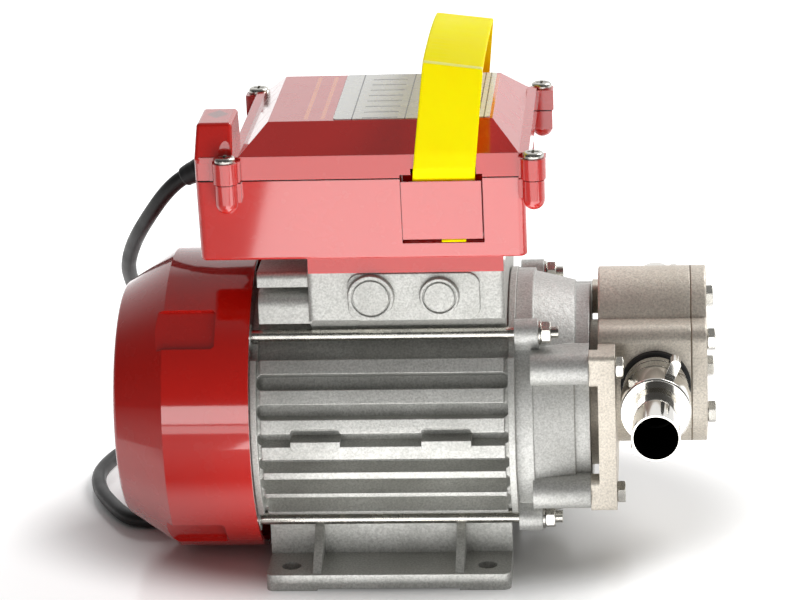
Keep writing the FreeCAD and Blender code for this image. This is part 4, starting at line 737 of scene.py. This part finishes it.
def make_materials():
    """One material for each slot of the record."""
    made = {"laminations": laminations(), "copper": windings(), "red_plastic": red_gloss("red_gloss"),
            "yellow_strap": yellow_band(), "plate_film": plate_film()}
    for slot, name, light, dark, rough, edge in (
            ("housing_metal", "blasted_aluminium", (0.62, 0.62, 0.59), (0.50, 0.50, 0.47), (0.44, 0.54), 0.6),
            ("shield_metal", "shield_aluminium", (0.64, 0.64, 0.62), (0.54, 0.54, 0.51), (0.46, 0.56), 0.7),
            ("pump_steel", "pump_steel", (0.84, 0.78, 0.68), (0.72, 0.66, 0.57), (0.44, 0.54), 0.6)):
        made[slot] = blasted(name, light, dark, rough, edge)
    for slot, name, light, dark, rough, grain, depth, blotch, edge in (
            ("steel", "plated_steel", (0.66, 0.64, 0.58), (0.48, 0.47, 0.44), (0.20, 0.32),
             1200, 0.02, 120, 0.35),
            ("dark_steel", "bearing_steel", (0.42, 0.42, 0.43), (0.30, 0.30, 0.31), (0.22, 0.34),
             1200, 0.02, 100, 0.35),
            ("polished", "polished_metal", (0.84, 0.82, 0.77), (0.76, 0.74, 0.70), (0.05, 0.11),
             300, 0.006, 30, 0.3),
            ("bronze", "bronze", (0.62, 0.42, 0.18), (0.48, 0.32, 0.13), (0.25, 0.38),
             900, 0.03, 70, 0.35)):
        made[slot] = metal(name, light, dark, rough, grain, depth, blotch, edge)
    for slot, name, light, dark, rough, grain, depth in (
            ("black_plastic", "black_plastic", (0.020, 0.020, 0.021), (0.012, 0.012, 0.013), (0.35, 0.5),
             1100, 0.03),
            ("white_plastic", "white_plastic", (0.72, 0.72, 0.68), (0.66, 0.66, 0.62), (0.35, 0.45),
             700, 0.02),
            ("grey_plastic", "grey_plastic", (0.22, 0.23, 0.24), (0.17, 0.18, 0.19), (0.4, 0.55),
             700, 0.02),
            ("seal_rubber", "seal_rubber", (0.018, 0.018, 0.018), (0.011, 0.011, 0.011), (0.5, 0.65),
             900, 0.04),
            ("gasket_paper", "gasket_fibre", (0.24, 0.19, 0.13), (0.17, 0.13, 0.09), (0.7, 0.85),
             900, 0.08),
            ("cord_rubber", "cord_rubber", (0.016, 0.015, 0.014), (0.010, 0.010, 0.010), (0.36, 0.5),
             1400, 0.03)):
        made[slot] = plastic(name, light, dark, rough, grain, depth)
    return made


def paint(piece, material):
    piece.data.materials.clear()
    piece.data.materials.append(material.material)


def paint_all(cord, strain_relief, strap_pieces):
    """Gives each node its slot's material, save the lid and the tubes, and each piece made here its own."""
    materials = make_materials()
    lid_material = red_gloss("red_gloss_lid", printed_and_shaded=True)
    tube_material = polished_tube()
    for name in nodes:
        paint(nodes[name], materials[slot_of[name]])
        shade_smooth(nodes[name].data)
    paint(nodes["box_lid"], lid_material)
    for name in ("inlet_hose_tail", "outlet_hose_tail", "inlet_nipple", "outlet_nipple"):
        paint(nodes[name], tube_material)
    paint(cord, materials["cord_rubber"])
    paint(strain_relief, materials["black_plastic"])
    for piece in strap_pieces:
        paint(piece, materials["yellow_strap"])


# Floor

def camera_rays(tree):
    """1 where a ray comes from the camera or through glass, else 0."""
    path = tree.nodes.new("ShaderNodeLightPath")
    return calculate(tree, "MAXIMUM", path.outputs["Is Camera Ray"], path.outputs["Is Transmission Ray"])


def glossy_rays(tree):
    return tree.nodes.new("ShaderNodeLightPath").outputs["Is Glossy Ray"]


def clear_of_object(tree):
    """Rises from 0 round the object, where its shadow stays, to 1 on the open floor."""
    place = tree.nodes.new("ShaderNodeTexCoord").outputs["Object"]
    scaled = tree.nodes.new("ShaderNodeVectorMath")
    scaled.operation = "MULTIPLY_ADD"
    scaled.inputs[1].default_value = (1 / SHADOW_HALF[0], 1 / SHADOW_HALF[1], 0)
    scaled.inputs[2].default_value = SHADOW_SHIFT
    tree.links.new(place, scaled.inputs[0])
    length = tree.nodes.new("ShaderNodeVectorMath")
    length.operation = "LENGTH"
    tree.links.new(scaled.outputs[0], length.inputs[0])
    return remap(tree, length.outputs["Value"], SHADOW_FADE, kind="SMOOTHSTEP")


def behind_front(tree):
    """Rises from 0 in front of the object, where the lamps lie, to 1 behind its front."""
    place = tree.nodes.new("ShaderNodeTexCoord").outputs["Object"]
    return remap(tree, parts_of(tree, place)["Y"], BEHIND_FRONT_Y, kind="SMOOTHSTEP")


def add_floor():
    """A pale, slightly glossy floor that looks white and keeps the object's shadow."""
    mesh = bpy.data.meshes.new("floor")
    corners = [(a * FLOOR_HALF, b * FLOOR_HALF, 0) for a, b in ((-1, -1), (1, -1), (1, 1), (-1, 1))]
    mesh.from_pydata(corners, [], [(0, 1, 2, 3)])
    floor = bpy.data.objects.new("floor", mesh)
    scene.collection.objects.link(floor)
    material = bpy.data.materials.new("floor")
    material.use_nodes = True
    tree = material.node_tree
    shader = tree.nodes["Principled BSDF"]
    shader.inputs["Base Color"].default_value = FLOOR_COLOUR
    shader.inputs["Roughness"].default_value = FLOOR_ROUGHNESS
    shader.inputs["Emission Color"].default_value = (1, 1, 1, 1)
    mirrored = product(tree, glossy_rays(tree), behind_front(tree))
    white = calculate(tree, "MAXIMUM", mirrored, camera_rays(tree))
    tree.links.new(product(tree, white, FLOOR_LIFT, clear_of_object(tree)), shader.inputs["Emission Strength"])
    mesh.materials.append(material)
    return floor


# World and lamps

def add_world():
    """White to the camera. As light it is strongest near the horizon and behind the object, and weaker
    overhead and at the left. Reflections see it weaker in front, and matt surfaces weaker all round."""
    world = bpy.data.worlds.new("studio")
    scene.world = world
    world.use_nodes = True
    tree = world.node_tree
    tree.nodes.clear()
    x, y, z = parts_of(tree, tree.nodes.new("ShaderNodeTexCoord").outputs["Generated"])
    tilt = product(tree, calculate(tree, "MAXIMUM", y, SKY_TILT_FROM_Y), SKY_TILT)
    sky = remap(tree, calculate(tree, "SUBTRACT", z, tilt), SKY_FADE, 1.0, SKY_DIM, "SMOOTHSTEP")
    side = remap(tree, y, SIDE_FADE, SIDE_DIM, 1.0, "SMOOTHSTEP")
    left = remap(tree, x, LEFT_FADE, LEFT_DIM, 1.0, "SMOOTHSTEP")
    glossy = glossy_rays(tree)
    matt = calculate(tree, "ADD", product(tree, glossy, 1.0 - MATT_DIM), MATT_DIM)
    front = remap(tree, y, FRONT_FADE, FRONT_DIM, 1.0, "SMOOTHSTEP")
    lost = product(tree, glossy, calculate(tree, "SUBTRACT", 1.0, front))
    lit = product(tree, sky, side, left, matt, calculate(tree, "SUBTRACT", 1.0, lost))
    background = tree.nodes.new("ShaderNodeBackground")
    background.inputs["Color"].default_value = (1, 1, 1, 1)
    tree.links.new(calculate(tree, "MAXIMUM", lit, camera_rays(tree)), background.inputs["Strength"])
    output = tree.nodes.new("ShaderNodeOutputWorld")
    tree.links.new(background.outputs[0], output.inputs[0])


def add_light(name, place, aim, size, power):
    """A rectangular lamp at a place, aimed at a point."""
    data = bpy.data.lights.new(name, "AREA")
    data.energy = power
    data.shape = "RECTANGLE"
    data.size, data.size_y = size
    light = bpy.data.objects.new(name, data)
    scene.collection.objects.link(light)
    light.location = place
    direction = Vector(aim) - Vector(place)
    light.rotation_euler = direction.to_track_quat("-Z", "Y").to_euler()
    return light


def power_of(radiance, size):
    """Power of a lamp of this size that looks this bright."""
    return radiance * math.pi * size[0] * size[1]


def add_panel(name, corners, radiance):
    """A lamp that lies on the floor in front of the object and shines up, like a lit white table."""
    (x0, y0), (x1, y1) = corners
    place = ((x0 + x1) / 2, (y0 + y1) / 2, PANEL_HEIGHT)
    size = (x1 - x0, y1 - y0)
    lamp = add_light(name, place, (place[0], place[1], 1), size, power_of(radiance, size))
    lamp.rotation_euler = (math.pi, 0, 0)
    lamp.visible_camera = False


def add_fan_strip(floor):
    """An upright lamp far in front, for the pale band on the fan cover. It doesn't light the floor."""
    lamp = add_light("fan_strip", STRIP_PLACE, STRIP_AIM, STRIP_SIZE, power_of(STRIP_RADIANCE, STRIP_SIZE))
    lamp.visible_camera = False
    spared = bpy.data.collections.new("spared_floor")
    spared.objects.link(floor)
    spared.collection_objects[0].light_linking.link_state = "EXCLUDE"
    lamp.light_linking.receiver_collection = spared


def settle(piece):
    """Has a repainted curve measured afresh: Blender's first box of it is a metre too wide each way."""
    bpy.context.view_layer.update()
    piece.location = piece.location
    bpy.context.view_layer.update()


# The scene

add_camera()
cord = add_cord()
strain_relief = add_strain_relief(cord)
strap_pieces = add_strap()
paint_all(cord, strain_relief, strap_pieces)
floor = add_floor()
add_world()
add_light("back_top", BACK_PLACE, BACK_AIM, BACK_SIZE, BACK_POWER)
for panel in PANELS:
    add_panel(*panel)
add_fan_strip(floor)
scene.view_settings.view_transform = "Standard"

settle(cord)
